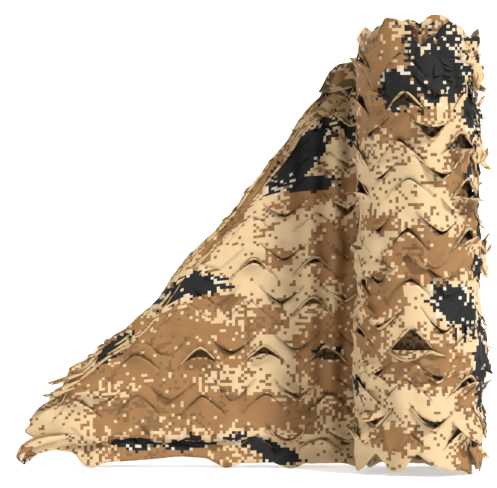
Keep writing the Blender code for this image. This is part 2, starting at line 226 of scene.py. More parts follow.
def cut_cloth(outline, leaves, spacing):
    """The cloth laid flat, with its leaf cuts open, and the leaf that each point belongs to."""
    loops, owner = [outline], [np.full(len(outline), -1)]
    for number, leaf in enumerate(leaves):
        free, lip = leaf_cut(leaf)
        loops.append(np.vstack([free, lip[-2:0:-1]]))
        mine = np.full(2 * CUT_STEPS, -1)
        mine[1:CUT_STEPS] = number
        owner.append(mine)
    edges, start = [], 0
    for loop in loops:
        edges += [(start + i, start + (i + 1) % len(loop)) for i in range(len(loop))]
        start += len(loop)
    fixed = np.vstack(loops)
    grid = staggered_grid(outline, spacing)
    grid = grid[away_from(grid, fixed, spacing * CLEAR_OF_CUTS)]
    grid_owner = np.full(len(grid), -1)
    for number, leaf in enumerate(leaves):
        near = near_leaf(grid, leaf)
        grid_owner[near[inside(grid[near], leaf_cut(leaf)[0])]] = number
    owner = np.concatenate([*owner, grid_owner])
    points = [Vector(point) for point in np.vstack([fixed, grid])]
    made = delaunay_2d_cdt(points, edges, [], 0, SAME_POINT, True)
    flat = np.array([tuple(point) for point in made[0]])
    leaf_of = np.array([max((owner[k] for k in source), default=-1) for source in made[3]])
    faces = np.array(made[2])
    middles = flat[faces].mean(axis=1)
    keep = inside(middles, outline)
    for loop in loops[1:]:
        near = keep & (np.abs(middles - loop.mean(axis=0)).max(axis=1) < LEAF_SPAN)
        keep[near] = ~inside(middles[near], loop)
    return Flat(flat, faces[keep], leaf_of, leaves)


# %% [markdown]
# ## Carrying flat cloth to its place
#
# A leaf bends about its root, the straight line between the two ends of its cut. Every point of it
# walks out from the root along an arc, so the leaf keeps its length: this is the same reason why
# paper bends but doesn't stretch. The rest of the cloth takes small creases from a few sine waves
# and a slight swell along each lip.

# %% Creases and swollen lips
LIP_REACH = 0.016
LIP_SLACK = 0.001
SHARP = 0.98
WANDER, WANDER_LENGTH = 0.9, 2.7
PATCHY, PATCHY_ALONG, PATCHY_ASIDE, PATCHY_PHASE = 0.45, 23, 31, 5
Crease = namedtuple("Crease", "height length degrees phase")


def creases(u, v, rows):
    """The height of folds over the flat cloth. They have straight flanks, and come and go."""
    total = np.zeros(len(u))
    for row in rows:
        way = math.radians(row.degrees)
        along = u * math.cos(way) + v * math.sin(way)
        side = v * math.cos(way) - u * math.sin(way)
        wander = WANDER * np.sin(side * math.tau / (row.length * WANDER_LENGTH) + row.phase)
        fold = np.arcsin(SHARP * np.sin(along * math.tau / row.length + row.phase + wander))
        patchy = np.sin(along * PATCHY_ALONG + side * PATCHY_ASIDE + row.phase * PATCHY_PHASE)
        total += row.height * fold * (1 - PATCHY + PATCHY * patchy)
    return total


def lip_swell(flat):
    """How far the cloth beside each cut stands out or sinks, fading away from its lip."""
    swell = np.zeros(len(flat.points))
    for number, leaf in enumerate(flat.leaves):
        near = near_leaf(flat.points, leaf)
        near = near[flat.leaf[near] != number]
        at = flat.points[near]
        t = (at[:, 0] - leaf.along) / (leaf.span / 2)
        below = leaf.way * (leaf.up + leaf.way * leaf.depth * rounded_v(t) - at[:, 1])
        fade = np.clip(1 - t * t, 0, 1) * np.exp(-((below / LIP_REACH) ** 2)) * (below > -LIP_SLACK)
        swell[near] += leaf.lip * fade
    return swell


# %% Bent leaves
BEND_STEPS = 24
FOLD_ZONE = 0.65


def bent_reach(bend, crisp, depth):
    """Tables of how far along and how far out a bent leaf is, at distances from its root."""
    walk = np.linspace(0, depth, BEND_STEPS)
    zone = depth * (1 - FOLD_ZONE * crisp)
    turn = np.radians(bend) * np.clip(walk / zone, 0, 1)
    step = walk[1] - walk[0]
    along = np.concatenate([[0], np.cumsum(np.cos((turn[1:] + turn[:-1]) / 2) * step)])
    out = np.concatenate([[0], np.cumsum(np.sin((turn[1:] + turn[:-1]) / 2) * step)])
    return walk, along, out


def carry(flat, surface, crease_rows):
    """Places a flat cloth on a surface. surface(u, v) gives points, outward and upward ways."""
    u, v = flat.points.T
    base_v = v.copy()
    for number, leaf in enumerate(flat.leaves):
        mine = flat.leaf == number
        base_v[mine] = leaf.up + leaf.way * leaf.depth
    points, out, upward = surface(u, base_v)
    points = points + out * (creases(u, base_v, crease_rows) + lip_swell(flat))[:, None]
    for number, leaf in enumerate(flat.leaves):
        mine = np.flatnonzero(flat.leaf == number)
        if not len(mine):
            continue
        t = (u[mine] - leaf.along) / (leaf.span / 2)
        distance = np.abs(v[mine] - base_v[mine])
        walk, along, lift = bent_reach(leaf.bend, leaf.crisp, leaf.depth)
        tilt = 1 + leaf.skew * t
        reach = np.interp(distance, walk, along)
        points[mine] -= upward[mine] * (leaf.way * reach)[:, None]
        points[mine] += out[mine] * (np.interp(distance, walk, lift) * np.clip(tilt, 0, 2))[:, None]
    return points


# %% [markdown]
# ## From points to a Blender mesh
#
# The flat coordinates, in metres of cloth, are stored as a UV map called `cloth`. The print then
# runs with the threads of the cloth wherever a leaf turns. A second attribute, `edge_way`, keeps the
# direction in which each cut edge faces: the frayed threads will follow it.

# %% Objects of cloth
FLOOR_GAP = 0.0005
SEAM_REACH = 0.00002


def linked(name, mesh):
    """A new object of the scene that holds a mesh."""
    obj = bpy.data.objects.new(name, mesh)
    bpy.context.scene.collection.objects.link(obj)
    return obj


def cloth_object(name, flat, points, shift):
    """A mesh object of placed cloth, above the floor, with its flat coordinates as a UV map."""
    points[:, 2] = np.maximum(points[:, 2], FLOOR_GAP)
    mesh = bpy.data.meshes.new(name)
    mesh.from_pydata(points.tolist(), [], flat.faces.tolist())
    mesh.update()
    corners = np.empty(len(mesh.loops), np.int32)
    mesh.loops.foreach_get("vertex_index", corners)
    layer = mesh.uv_layers.new(name="cloth")
    layer.data.foreach_set("uv", (flat.points[corners] + (shift, 0)).astype(np.float32).ravel())
    mesh.polygons.foreach_set("use_smooth", np.ones(len(mesh.polygons), bool))
    return linked(name, mesh)


def joined(name, objects):
    """One object made of several, with their shared points merged."""
    build = bmesh.new()
    for obj in objects:
        build.from_mesh(obj.data)
        bpy.data.objects.remove(obj, do_unlink=True)
    bmesh.ops.remove_doubles(build, verts=build.verts, dist=SEAM_REACH)
    loose = [vert for vert in build.verts if not vert.link_faces]
    bmesh.ops.delete(build, geom=loose, context="VERTS")
    mesh = bpy.data.meshes.new(name)
    build.to_mesh(mesh)
    build.free()
    return linked(name, mesh)


# %% Cloth that faces outwards


def face_outwards(obj, outward):
    """Turns every triangle so that its front looks the way that outward(middle) says."""
    build = bmesh.new()
    build.from_mesh(obj.data)
    bmesh.ops.recalc_face_normals(build, faces=build.faces)
    votes = sum(face.normal.dot(outward(face.calc_center_median())) * face.calc_area()
                for face in build.faces)
    if votes < 0:
        bmesh.ops.reverse_faces(build, faces=build.faces)
    build.to_mesh(obj.data)
    build.free()


def laid_cloth(name, flat, surface, crease_rows, shift, outward):
    """An object of flat cloth that is carried to its place and faces outwards."""
    made = cloth_object(name, flat, carry(flat, surface, crease_rows), shift)
    face_outwards(made, outward)
    print(f"{name}: {len(flat.leaves)} leaves, {len(flat.faces)} triangles")
    return made


# %% Which way each cut edge faces


def mark_edge_ways(obj):
    """Stores, at every point of a cut edge, the way in which that edge faces."""
    build = bmesh.new()
    build.from_mesh(obj.data)
    ways = np.zeros((len(build.verts), 3), np.float32)
    for edge in build.edges:
        if edge.is_boundary:
            face = edge.link_faces[0]
            a, b = edge.verts
            away = (b.co - a.co).cross(face.normal)
            if away.dot(face.calc_center_median() - a.co) > 0:
                away = -away
            for vert in edge.verts:
                ways[vert.index] += np.array(away.normalized())
    build.free()
    length = np.linalg.norm(ways, axis=1)
    ways[length > 0] /= length[length > 0, None]
    kept = obj.data.attributes.new("edge_way", "FLOAT_VECTOR", "POINT")
    kept.data.foreach_set("vector", ways.ravel())


# %% [markdown]
# ## The loose end
#
# The loose end is a narrow tent. Its two layers meet in a soft ridge that falls away to the left.
# Short tables say where the ridge and the layers stand at a few stations, measured from the roll's
# axis, and a smooth curve is read through them. Near the floor the front layer has a crease, below
# which the hem flares out.

# %% The tables of the loose end
ROLL_X = 0.2716
ROLL_Y = -0.0074
Station = namedtuple("Station", "left ridge front back")
STATIONS = table(
    Station,
    (-0.018, 0.730, 0.1068, 0.1128), (0.010, 0.724, 0.1068, 0.1130), (0.060, 0.700, 0.1015, 0.1180),
    (0.104, 0.674, 0.0880, 0.1200), (0.134, 0.662, 0.0828, 0.1216), (0.160, 0.620, 0.0785, 0.1228),
    (0.186, 0.590, 0.0755, 0.1235), (0.225, 0.531, 0.0720, 0.1240), (0.264, 0.484, 0.0708, 0.1236),
    (0.316, 0.416, 0.0703, 0.1228), (0.342, 0.389, 0.0707, 0.1220), (0.394, 0.335, 0.0720, 0.1210),
    (0.420, 0.294, 0.0727, 0.1206), (0.473, 0.240, 0.0740, 0.1200), (0.499, 0.222, 0.0747, 0.1197),
    (0.551, 0.179, 0.0763, 0.1186), (0.578, 0.158, 0.0780, 0.1176), (0.594, 0.130, 0.0788, 0.1168),
    (0.606, 0.114, 0.0795, 0.1163), (0.619, 0.106, 0.0803, 0.1156), (0.636, 0.091, 0.0812, 0.1148),
    (0.652, 0.072, 0.0824, 0.1138), (0.690, 0.040, 0.0840, 0.1120),
)
SHEET_START = -0.016
SHEET_END = 0.650
print(f"{len(STATIONS)} stations say how the loose end falls, from {STATIONS[0].ridge} m to "
      f"{STATIONS[-1].ridge} m high")


def column(rows, key, name, at):
    """A column of a table, read at any value of its key column, smooth through its rows."""
    knots = np.array([getattr(row, key) for row in rows], float)
    values = np.array([getattr(row, name) for row in rows], float)
    slopes = np.gradient(values, knots)
    at = np.clip(np.asarray(at, float), knots[0], knots[-1])
    i = np.clip(np.searchsorted(knots, at) - 1, 0, len(knots) - 2)
    width = knots[i + 1] - knots[i]
    t = (at - knots[i]) / width
    blend = t * t * (3 - 2 * t)
    lean = slopes[i] * t * (1 - t) ** 2 - slopes[i + 1] * t * t * (1 - t)
    return values[i] * (1 - blend) + values[i + 1] * blend + lean * width


# %% [markdown]
# ## A section of the tent
#
# Cut across, the tent is the same kind of line everywhere: a flared hem, a crease, an upright and a
# rounded ridge. A cloth simulation could hang it, but it would hang differently from the real one.
# So one function works the line out for any station, a grid of such lines carries the flat cloth,
# and pleats and waves are added to it.

# %% The two layers
Layer = namedtuple("Layer", "name faces crease rows")
FRONT = Layer("front", faces=-1, crease=1.0, rows=table(
    Row,
    (0.052, 0.220), (0.128, 0.202), (0.205, 0.206), (0.285, 0.228), (0.355, 0.223),
    (0.430, 0.223), (0.505, 0.220), (0.580, 0.215), (0.650, 0.205),
))
BACK_LEVEL, BACK_HANGING, BACK_ROWS = 0.079, 0.070, 9
BACK = Layer("back", faces=1, crease=0.0,
             rows=[Row(BACK_LEVEL + ROW_PITCH * i, BACK_HANGING) for i in range(BACK_ROWS)])
for layer in (FRONT, BACK):
    print(f"the {layer.name} layer has {len(layer.rows)} rows of leaves")

# %% The section of one layer
FULLY_OPEN = 0.036
HEM_FLARE = 0.011
CREASE_HEIGHT, CREASE_SHARE = 0.046, 0.25
CREASE_DEPTH = 0.010
RIDGE_RISE, RIDGE_SHARE, LEAST_RISE = 0.055, 0.45, 0.25
UPRIGHT_STEPS, CAP_STEPS = 16, 12
RIDGE_LEAF_DEPTH = 0.0015
RIDGE_LEAF_PITCH = 0.047
HemPoint = namedtuple("HemPoint", "height flare nook")
HEM_POINTS = table(
    HemPoint,
    (0.0, 1.0, 0.0), (0.3, 0.72, -0.05), (0.6, 0.40, -0.2), (0.85, 0.12, -0.35),
    (1.0, 0.0, -0.5), (1.15, 0.0, 0.55), (1.5, 0.0, 0.75), (2.2, 0.0, 0.0),
)


def ridge_leaves(left):
    """How far the leaves that stand along the ridge raise or lower its outline."""
    turn = left / RIDGE_LEAF_PITCH
    return RIDGE_LEAF_DEPTH * (0.5 - float(rounded_v(2 * (turn - round(turn)))))


def half_section(layer, left):
    """One layer's line at a station, as (y, z) points from its hem up to the ridge."""
    ridge = float(column(STATIONS, "left", "ridge", left)) + ridge_leaves(left)
    front = float(column(STATIONS, "left", "front", left))
    back = float(column(STATIONS, "left", "back", left))
    half = (back - front) / 2
    spread = float(np.clip(2 * half / FULLY_OPEN, 0, 1)) ** 2
    crease = min(CREASE_HEIGHT, CREASE_SHARE * ridge)
    rise = min(RIDGE_RISE, RIDGE_SHARE * ridge) * (LEAST_RISE + (1 - LEAST_RISE) * spread)
    height, flare, nook = np.array(HEM_POINTS).T
    out = flare * HEM_FLARE * spread + nook * (CREASE_DEPTH * spread * layer.crease)
    low = np.column_stack([half + out, height * crease])
    upright = np.linspace(crease * height[-1], ridge - rise, UPRIGHT_STEPS)[1:]
    leg = np.column_stack([np.full(len(upright), half), upright])
    turn = np.linspace(0, math.pi / 2, CAP_STEPS)[1:]
    cap = np.column_stack([half * np.cos(turn), ridge - rise + rise * np.sin(turn)])
    line = np.vstack([low, leg, cap])
    line[:, 0] = (front + back) / 2 + layer.faces * line[:, 0]
    return line


# %% Pleats and waves
PLEAT_DEPTH, PLEAT_WIDTH, PLEAT_SLANT = 0.006, 0.039, 3
PLEATS_AT, PLEATS_REACH, PLEATS_UP = 0.150, 0.050, 0.25
WAVE_DEPTH, WAVE_ALONG, WAVE_UP = 0.004, 17, 9
WAVES_FROM, WAVES_GROW, WAVES_UP = 0.030, 0.090, 0.10


def pleats(left, up):
    """How far a point is pushed back by the pleats beside the roll and the waves further out."""
    beside_roll = np.exp(-(((left - PLEATS_AT) / PLEATS_REACH) ** 2)) * np.clip(up / PLEATS_UP, 0, 1)
    fold = PLEAT_DEPTH * beside_roll * np.sin(math.tau * left / PLEAT_WIDTH + up * PLEAT_SLANT)
    clear_of_roll = np.clip((left - WAVES_FROM) / WAVES_GROW, 0, 1)
    wave = WAVE_DEPTH * np.sin(left * WAVE_ALONG + up * WAVE_UP) * np.clip(up / WAVES_UP, 0, 1)
    return fold + wave * clear_of_roll


# %% The grid that carries a layer
SECTION_COUNT, SHARE_COUNT = 240, 400
BEFORE_START, BEYOND_END = 0.004, 0.040
RIDGE_EASE, FULL_EASE_RIDGE = 0.034, 0.25
EASE_REACH = 0.060
WAY_STEP = 0.003


class Drape:
    """Carries a layer's flat cloth points to their places in the standing tent."""

    def __init__(self, layer):
        self.layer = layer
        self.left = np.linspace(SHEET_START - BEFORE_START, SHEET_END + BEYOND_END, SECTION_COUNT)
        share = np.linspace(0, 1, SHARE_COUNT)
        self.grid = np.empty((SECTION_COUNT, SHARE_COUNT, 2))
        self.length = np.empty(SECTION_COUNT)
        for i, left in enumerate(self.left):
            line = half_section(layer, left)
            run = np.append(0.0, np.cumsum(np.linalg.norm(np.diff(line, axis=0), axis=1)))
            self.length[i] = run[-1]
            for axis in (0, 1):
                self.grid[i, :, axis] = np.interp(share * run[-1], run, line[:, axis])

    def ease(self, left):
        """The spare cloth taken in below the ridge, which a low ridge has less of."""
        return RIDGE_EASE * np.clip(column(STATIONS, "left", "ridge", left) / FULL_EASE_RIDGE, 0, 1)

    def width(self, left):
        """The cloth's width from hem to ridge at a station."""
        return np.interp(left, self.left, self.length) + self.ease(left)

    def place(self, left, across):
        """World points for arrays of flat cloth points."""
        ease = self.ease(left)
        length = self.width(left) - ease
        below = np.exp(-np.clip(length - across, 0, None) / EASE_REACH)
        foot = np.exp(-length / EASE_REACH)
        share = np.clip((across - ease * (below - foot) / (1 - foot)) / length, 0, 1)
        row = np.interp(left, self.left, np.arange(SECTION_COUNT))
        step = share * (SHARE_COUNT - 1)
        i = np.clip(row.astype(int), 0, SECTION_COUNT - 2)
        j = np.clip(step.astype(int), 0, SHARE_COUNT - 2)
        a, b = (row - i)[:, None], (step - j)[:, None]
        low = self.grid[i, j] * (1 - b) + self.grid[i, j + 1] * b
        high = self.grid[i + 1, j] * (1 - b) + self.grid[i + 1, j + 1] * b
        points = np.empty((len(left), 3))
        points[:, 0] = ROLL_X - left
        points[:, 1:] = low * (1 - a) + high * a
        points[:, 1] += ROLL_Y + pleats(left, points[:, 2])
        return points

    def surface(self, left, across):
        """Points, and the ways out of the tent and up the cloth there."""
        inner = np.clip(across, WAY_STEP, self.width(left) - 2 * WAY_STEP)
        along = self.place(left + WAY_STEP, inner) - self.place(left - WAY_STEP, inner)
        up = self.place(left, inner + WAY_STEP) - self.place(left, inner - WAY_STEP)
        out = np.cross(along, up) * self.layer.faces
        out /= np.linalg.norm(out, axis=1)[:, None]
        up /= np.linalg.norm(up, axis=1)[:, None]
        return self.place(left, across), out, up


# %% [markdown]
# ## Edges and chosen leaves
#
# The front layer's hem and end are drawn point by point, because the outline of the real net shows
# there. The back layer's follow them with leaf cuts of their own. The leaves that catch the eye are
# chosen in a table, and the others take what the layer's habit draws for them.

# %% The tables of the front layer
EdgePoint = namedtuple("EdgePoint", "at reach")
FRONT_HEM = table(
    EdgePoint,
    (-0.020, 0.004), (0.050, 0.008), (0.080, 0.008), (0.104, 0.001), (0.124, 0.008), (0.190, 0.009),
    (0.199, 0.004), (0.214, 0.000), (0.228, 0.004), (0.242, 0.010), (0.296, 0.010), (0.308, 0.004),
    (0.320, 0.001), (0.331, 0.006), (0.352, 0.018), (0.395, 0.020), (0.437, 0.016), (0.476, 0.013),
    (0.520, 0.010), (0.541, 0.000), (0.556, 0.006), (0.571, 0.028), (0.600, 0.034), (0.626, 0.030),
    (0.645, 0.012), (0.655, 0.004),
)
FRONT_END = table(
    EdgePoint,
    (0.000, 0.004), (0.007, 0.008), (0.016, 0.017), (0.028, 0.020), (0.038, 0.017), (0.045, 0.009),
    (0.050, -0.006), (0.055, -0.020), (0.060, -0.023), (0.065, -0.012), (0.073, 0.003), (0.079, 0.008),
    (0.088, 0.001), (0.100, -0.008), (0.115, -0.016),
)
Chosen = namedtuple("Chosen", "along up bend crisp skew")
FRONT_CHOSEN = table(
    Chosen,
    (0.233, 0.285, 34, 0.2, -0.5), (0.259, 0.205, 58, 0.4, -0.2), (0.154, 0.205, 74, 0.3, 0.1),
    (0.383, 0.205, 62, 0.5, 0.3), (0.488, 0.205, 40, 0.2, -0.4), (0.223, 0.430, 39, 0.3, 0.4),
    (0.118, 0.430, 39, 0.3, -0.5), (0.149, 0.128, 36, 0.6, -0.3), (0.220, 0.052, 52, 0.3, -0.5),
    (0.115, 0.052, 46, 0.2, 0.5), (0.272, 0.052, 30, 0.4, 0.4), (0.167, 0.052, 60, 0.5, -0.3),
)
FRONT_CREASES = table(
    Crease,
    (0.0021, 0.120, 55, 0.4), (0.0017, 0.083, -48, 2.0), (0.0010, 0.037, 15, 1.0),
    (0.0006, 0.021, -70, 3.0),
)
print(f"{len(FRONT_HEM)} points draw the hem and {len(FRONT_END)} the end")
print(f"{len(FRONT_CHOSEN)} leaves are chosen")

# %% Reading the edges of both layers
CORNER = 0.003
BACK_CUT, BACK_HEM_PHASE = 0.4, 0.072
BACK_SHORTER, BACK_END_PHASE = 0.014, 0.020


def profile(points, at):
    """An irregular edge, read from a table: straight runs with slightly rounded corners."""
    knots, reaches = [point.at for point in points], [point.reach for point in points]
    return np.mean([np.interp(at + shift, knots, reaches) for shift in (-CORNER, 0, CORNER)], axis=0)


def front_hem(at):
    return profile(FRONT_HEM, at)


def front_end(at):
    return profile(FRONT_END, at)


def back_hem(at):
    return front_hem(at) + BACK_CUT * leaf_edge(at, BACK_HEM_PHASE)


def back_end(at):
    return -BACK_SHORTER - leaf_edge(at, BACK_END_PHASE)


# %% Cut and drape both layers
SHEET_SPACING = 0.0060
SIDE_STEP = 0.006
END_FADE = 4
SHEET_HABIT = Habit(seed=11, calm=15, lively=48, bold=95, lively_share=0.38, bold_share=0.07)
BACK_HABIT = Habit(seed=12, calm=20, lively=48, bold=95, lively_share=0.30, bold_share=0.05)


def layer_outline(drape, hem_edge, end_edge):
    """A layer's edges: the hem, the leaf-cut end, the ridge, and the line at the roll."""
    step = LEAF_PITCH / EDGE_STEPS
    hem = np.arange(SHEET_START, SHEET_END, step)
    bottom = np.column_stack([hem, hem_edge(hem)])
    top = np.column_stack([hem, drape.width(hem)])[::-1]
    across = np.arange(bottom[-1, 1] + step, top[0, 1], step)
    fade = np.clip((top[0, 1] - across) / (END_FADE * step), 0, 1)
    end = np.column_stack([hem[-1] + fade * end_edge(across), across])
    side = np.arange(bottom[0, 1] + SIDE_STEP, top[-1, 1] - SIDE_STEP, SIDE_STEP)[::-1]
    start = np.column_stack([np.full(len(side), SHEET_START), side])
    return np.vstack([bottom, end, top, start])


def drape_layer(drape, outline, habit, chosen, shift):
    """One layer of the loose end, and its leaves."""
    layer = drape.layer
    leaves = leaves_within(outline, layer.rows, SHEET_LEAF_DEPTH, habit, chosen)
    flat = cut_cloth(outline, leaves, SHEET_SPACING)
    made = laid_cloth(f"{layer.name}_layer", flat, drape.surface, FRONT_CREASES, shift,
                      lambda at: Vector((0, layer.faces, 0)))
    return made, leaves


# Each cloth takes its own stretch of the print. These are their starts, in metres along it.
ON_FRONT, ON_TURNED, ON_BACK, ON_ROLL = 0.0, 1.5, 3.0, 6.0
ON_ROLL_CURLS, ON_FLANK, ON_CROWN, ON_INNER = 8.0, 9.0, 10.0, 12.0
front_drape, back_drape = Drape(FRONT), Drape(BACK)
front_outline = layer_outline(front_drape, front_hem, front_end)
back_outline = layer_outline(back_drape, back_hem, back_end)
front_layer, front_leaves = drape_layer(front_drape, front_outline, SHEET_HABIT, FRONT_CHOSEN, ON_FRONT)
back_layer, _ = drape_layer(back_drape, back_outline, BACK_HABIT, (), ON_BACK)

# %% [markdown]
# ## Tucks that lie over the front
#
# The real net is gathered, so it lies in tucks: along the ridge its edge shows two or three times,
# one above the other, and low down a tuck hangs over the hem. Each is made as a strip over the
# front layer. Its top edge and its ends are sunk behind the layer, so that only the free lower edge
# shows.

# %% Tucks along the ridge and above the hem
Tuck = namedtuple("Tuck", "name start end low high wave pitch phase lift")
TUCKS = table(
    Tuck,
    ("ridge_tuck", 0.235, 0.618, -0.050, -0.014, 0.010, 0.145, 0.03, 0.0022),
    ("upper_ridge_tuck", 0.175, 0.605, -0.032, -0.004, 0.008, 0.094, 0.00, 0.0030),
    ("hem_tuck", 0.262, 0.606, 0.056, 0.086, 0.015, 0.127, 0.060, 0.0080),
    ("lower_hem_tuck", 0.300, 0.612, 0.048, 0.076, 0.012, 0.088, 0.020, 0.0055),
    ("lowest_hem_tuck", 0.345, 0.610, 0.040, 0.070, 0.010, 0.141, 0.05, 0.0035),
)
SINK = 0.0022
TUCK_ENDS = 0.045
TUCK_WANDER, WANDER_ALONG, WANDER_PHASE, WANDER_TURN = 0.35, 19, 90, 0.2
WAVE_MIDDLE = 0.4
LIFT_POWER, LIFT_MEAN, LIFT_SWING, LIFT_ALONG = 1.3, 0.8, 0.4, 37


class LiftedDrape:
    """The front layer's surface, raised towards a tuck's lower edge and sunk at its other edges."""

    def __init__(self, drape, tuck):
        self.drape, self.tuck = drape, tuck

    def base(self, left):
        """Where the tuck's levels count from: the hem, or the ridge for levels below zero."""
        return self.drape.width(left) if self.tuck.low < 0 else np.zeros(len(left))

    def low(self, left):
        """The tuck's free lower edge, in leaf-shaped waves that wander a little."""
        wander = TUCK_WANDER * np.sin(left * WANDER_ALONG + self.tuck.phase * WANDER_PHASE)
        turn = (left - self.tuck.phase) / self.tuck.pitch + wander * WANDER_TURN
        wave = rounded_v(2 * (turn - np.round(turn))) - WAVE_MIDDLE + WAVE_MIDDLE * wander
        return self.base(left) + self.tuck.low + self.tuck.wave * wave

    def surface(self, left, across):
        """Points of the tuck, and the ways out of the tent and up the cloth there."""
        points, out, up = self.drape.surface(left, across)
        low = self.low(left)
        share = np.clip((across - low) / (self.base(left) + self.tuck.high - low), 0, 1)
        ends = np.minimum(left - self.tuck.start, self.tuck.end - left) / TUCK_ENDS
        swing = LIFT_MEAN + LIFT_SWING * np.sin(left * LIFT_ALONG)
        lift = self.tuck.lift * (1 - share) ** LIFT_POWER * np.clip(ends, 0, 1) * swing
        sunk = SINK * np.maximum(share ** 3, 1 - np.clip(ends * 2, 0, 1))
        return points + out * (lift - sunk)[:, None], out, up


# %% Make the tucks, and join the loose cloth


def tuck_object(tuck):
    """One tuck, from its free lower edge to its sunk top edge."""
    lifted = LiftedDrape(front_drape, tuck)
    run = np.arange(tuck.start, tuck.end, LEAF_PITCH / EDGE_STEPS)
    top = np.column_stack([run, lifted.base(run) + tuck.high])[::-1]
    flat = cut_cloth(np.vstack([np.column_stack([run, lifted.low(run)]), top]), [], SHEET_SPACING)
    return laid_cloth(tuck.name, flat, lifted.surface, FRONT_CREASES, ON_FRONT,
                      lambda at: Vector((0, -1, 0)))


tucks = [tuck_object(tuck) for tuck in TUCKS]
loose_cloth = joined("loose_cloth", [front_layer, back_layer, *tucks])
print(f"loose cloth: {len(loose_cloth.data.polygons)} triangles with {len(tucks)} tucks")

# %% [markdown]
# ## The roll
#
# A cylinder with a bump would have a smooth outline, and the real roll's is ragged. So the outer
# turn is a rectangle of cut cloth with leaf-cut edges, wrapped round the roll's radius. The turns
# inside it show in the top end, in the gaps between the lobes of the foot, and through the open
# leaves, so they are made as one long spiral, a little shorter than the outer turn.

# %% Sizes of the roll
ROLL_RADIUS = 0.105
ROLL_HEIGHT = 0.738
ROLL_SPACING = 0.0060
STEP_ANGLE = math.radians(12)
STEP_HEIGHT = 0.0060
ROLL_ROWS = table(
    Row,
    (0.080, 0.295), (0.158, 0.287), (0.237, 0.278), (0.315, 0.279), (0.395, 0.281), (0.480, 0.282),
    (0.545, 0.298), (0.614, 0.286), (0.681, 0.292),
)
FOOT_EDGE = table(
    EdgePoint,
    (0.000, 0.000), (0.052, 0.022), (0.104, 0.000), (0.155, 0.024), (0.184, 0.006), (0.206, 0.032),
    (0.221, 0.000), (0.240, 0.010), (0.259, 0.008), (0.290, 0.016), (0.321, 0.040), (0.343, 0.010),
    (0.366, 0.007), (0.379, 0.020), (0.393, 0.038), (0.416, 0.020), (0.440, 0.004), (0.495, 0.026),
    (0.548, 0.000), (0.605, 0.024), (0.660, 0.000),
)
HEAD_EDGE = table(
    EdgePoint,
    (0.000, 0.726), (0.052, 0.702), (0.104, 0.728), (0.145, 0.690), (0.165, 0.676), (0.180, 0.672),
    (0.197, 0.690), (0.214, 0.703), (0.229, 0.710), (0.244, 0.722), (0.261, 0.727), (0.272, 0.731),
    (0.284, 0.721), (0.294, 0.703), (0.308, 0.694), (0.319, 0.684), (0.326, 0.705), (0.333, 0.728),
    (0.353, 0.734), (0.373, 0.738), (0.384, 0.714), (0.393, 0.696), (0.406, 0.703), (0.420, 0.714),
    (0.431, 0.704), (0.448, 0.726), (0.460, 0.690), (0.490, 0.706), (0.530, 0.728), (0.580, 0.704),
    (0.625, 0.729), (0.660, 0.712),
)
FLANK = table(
    EdgePoint,
    (0.000, -0.012), (0.040, -0.018), (0.062, -0.007), (0.100, -0.006), (0.140, -0.011), (0.165, -0.004),
    (0.210, -0.001), (0.240, -0.012), (0.262, -0.016), (0.290, -0.023), (0.330, -0.018), (0.350, -0.011),
    (0.370, -0.012), (0.385, -0.022), (0.480, -0.024), (0.500, -0.023), (0.518, -0.015), (0.540, -0.018),
    (0.570, -0.020), (0.600, -0.026), (0.645, -0.028), (0.670, -0.017), (0.700, -0.018),
)
ROLL_CREASES = table(
    Crease,
    (0.0023, 0.110, 48, 0.9), (0.0022, 0.094, -52, 2.4), (0.0017, 0.052, -12, 0.2),
    (0.0010, 0.027, 70, 1.7),
)
print(f"the roll is {ROLL_HEIGHT} m high and {2 * ROLL_RADIUS} m across")

# %% The crumpled flank, and slow lumps
FLANK_AT, FLANK_REACH = 78, 38
FLANK_FOLD, FOLDS_ROUND = 0.0022, 31
FOLDS_WANDER = ((1.6, 23), (0.8, 61))
Lump = namedtuple("Lump", "height turns slant")


def flank(angle, up):
    """How far the roll's right flank stands out, which is crumpled into upright folds."""
    away = (np.degrees(angle) - FLANK_AT + 180) % 360 - 180
    wander = sum(far * np.sin(up * rate) for far, rate in FOLDS_WANDER)
    folds = FLANK_FOLD * np.arcsin(SHARP * np.sin(FOLDS_ROUND * angle + wander))
    return (profile(FLANK, up) + folds) * np.exp(-((away / FLANK_REACH) ** 2))


def lumpy(lumps, angle, up):
    """The sum of some slow waves round the roll, each with its own slant."""
    return sum(lump.height * np.sin(lump.turns * angle + up * lump.slant) for lump in lumps)


# %% The roll's surface
OUTER_LUMPS = table(Lump, (0.0022, 3, 7), (0.0018, 5, -13))
ROLL_OVAL, OVAL_TURN = 0.002, 0.6
STEP_REACH = 1.3
HEAD_REACH = 0.070
Bearing = namedtuple("Bearing", "degrees lean")
BEARINGS = table(
    Bearing,
    (0, -0.002), (60, 0.000), (95, -0.006), (130, 0.000), (200, 0.002), (270, 0.000), (360, -0.002),
)


def roll_radius(along, up):
    """The roll's radius: it winds in from the step at its back, and is a little lumpy."""
    angle = along / ROLL_RADIUS
    away = np.clip(np.minimum(angle, math.tau - angle) / STEP_REACH, 0, 1) ** 2
    wound = STEP_HEIGHT * (1 - angle / math.tau)
    oval = ROLL_OVAL * np.cos(2 * angle - OVAL_TURN)
    return ROLL_RADIUS + wound + away * (oval + lumpy(OUTER_LUMPS, angle, up)) + flank(angle, up)


def round_the_roll(angle, radius, up):
    """Points round the roll, clockwise from its back, and the ways out of it and up there."""
    out = np.column_stack([np.sin(angle), np.cos(angle), np.zeros(len(angle))])
    points = np.column_stack([ROLL_X + radius * np.sin(angle), ROLL_Y + radius * np.cos(angle), up])
    return points, out, np.tile((0.0, 0.0, 1.0), (len(angle), 1))


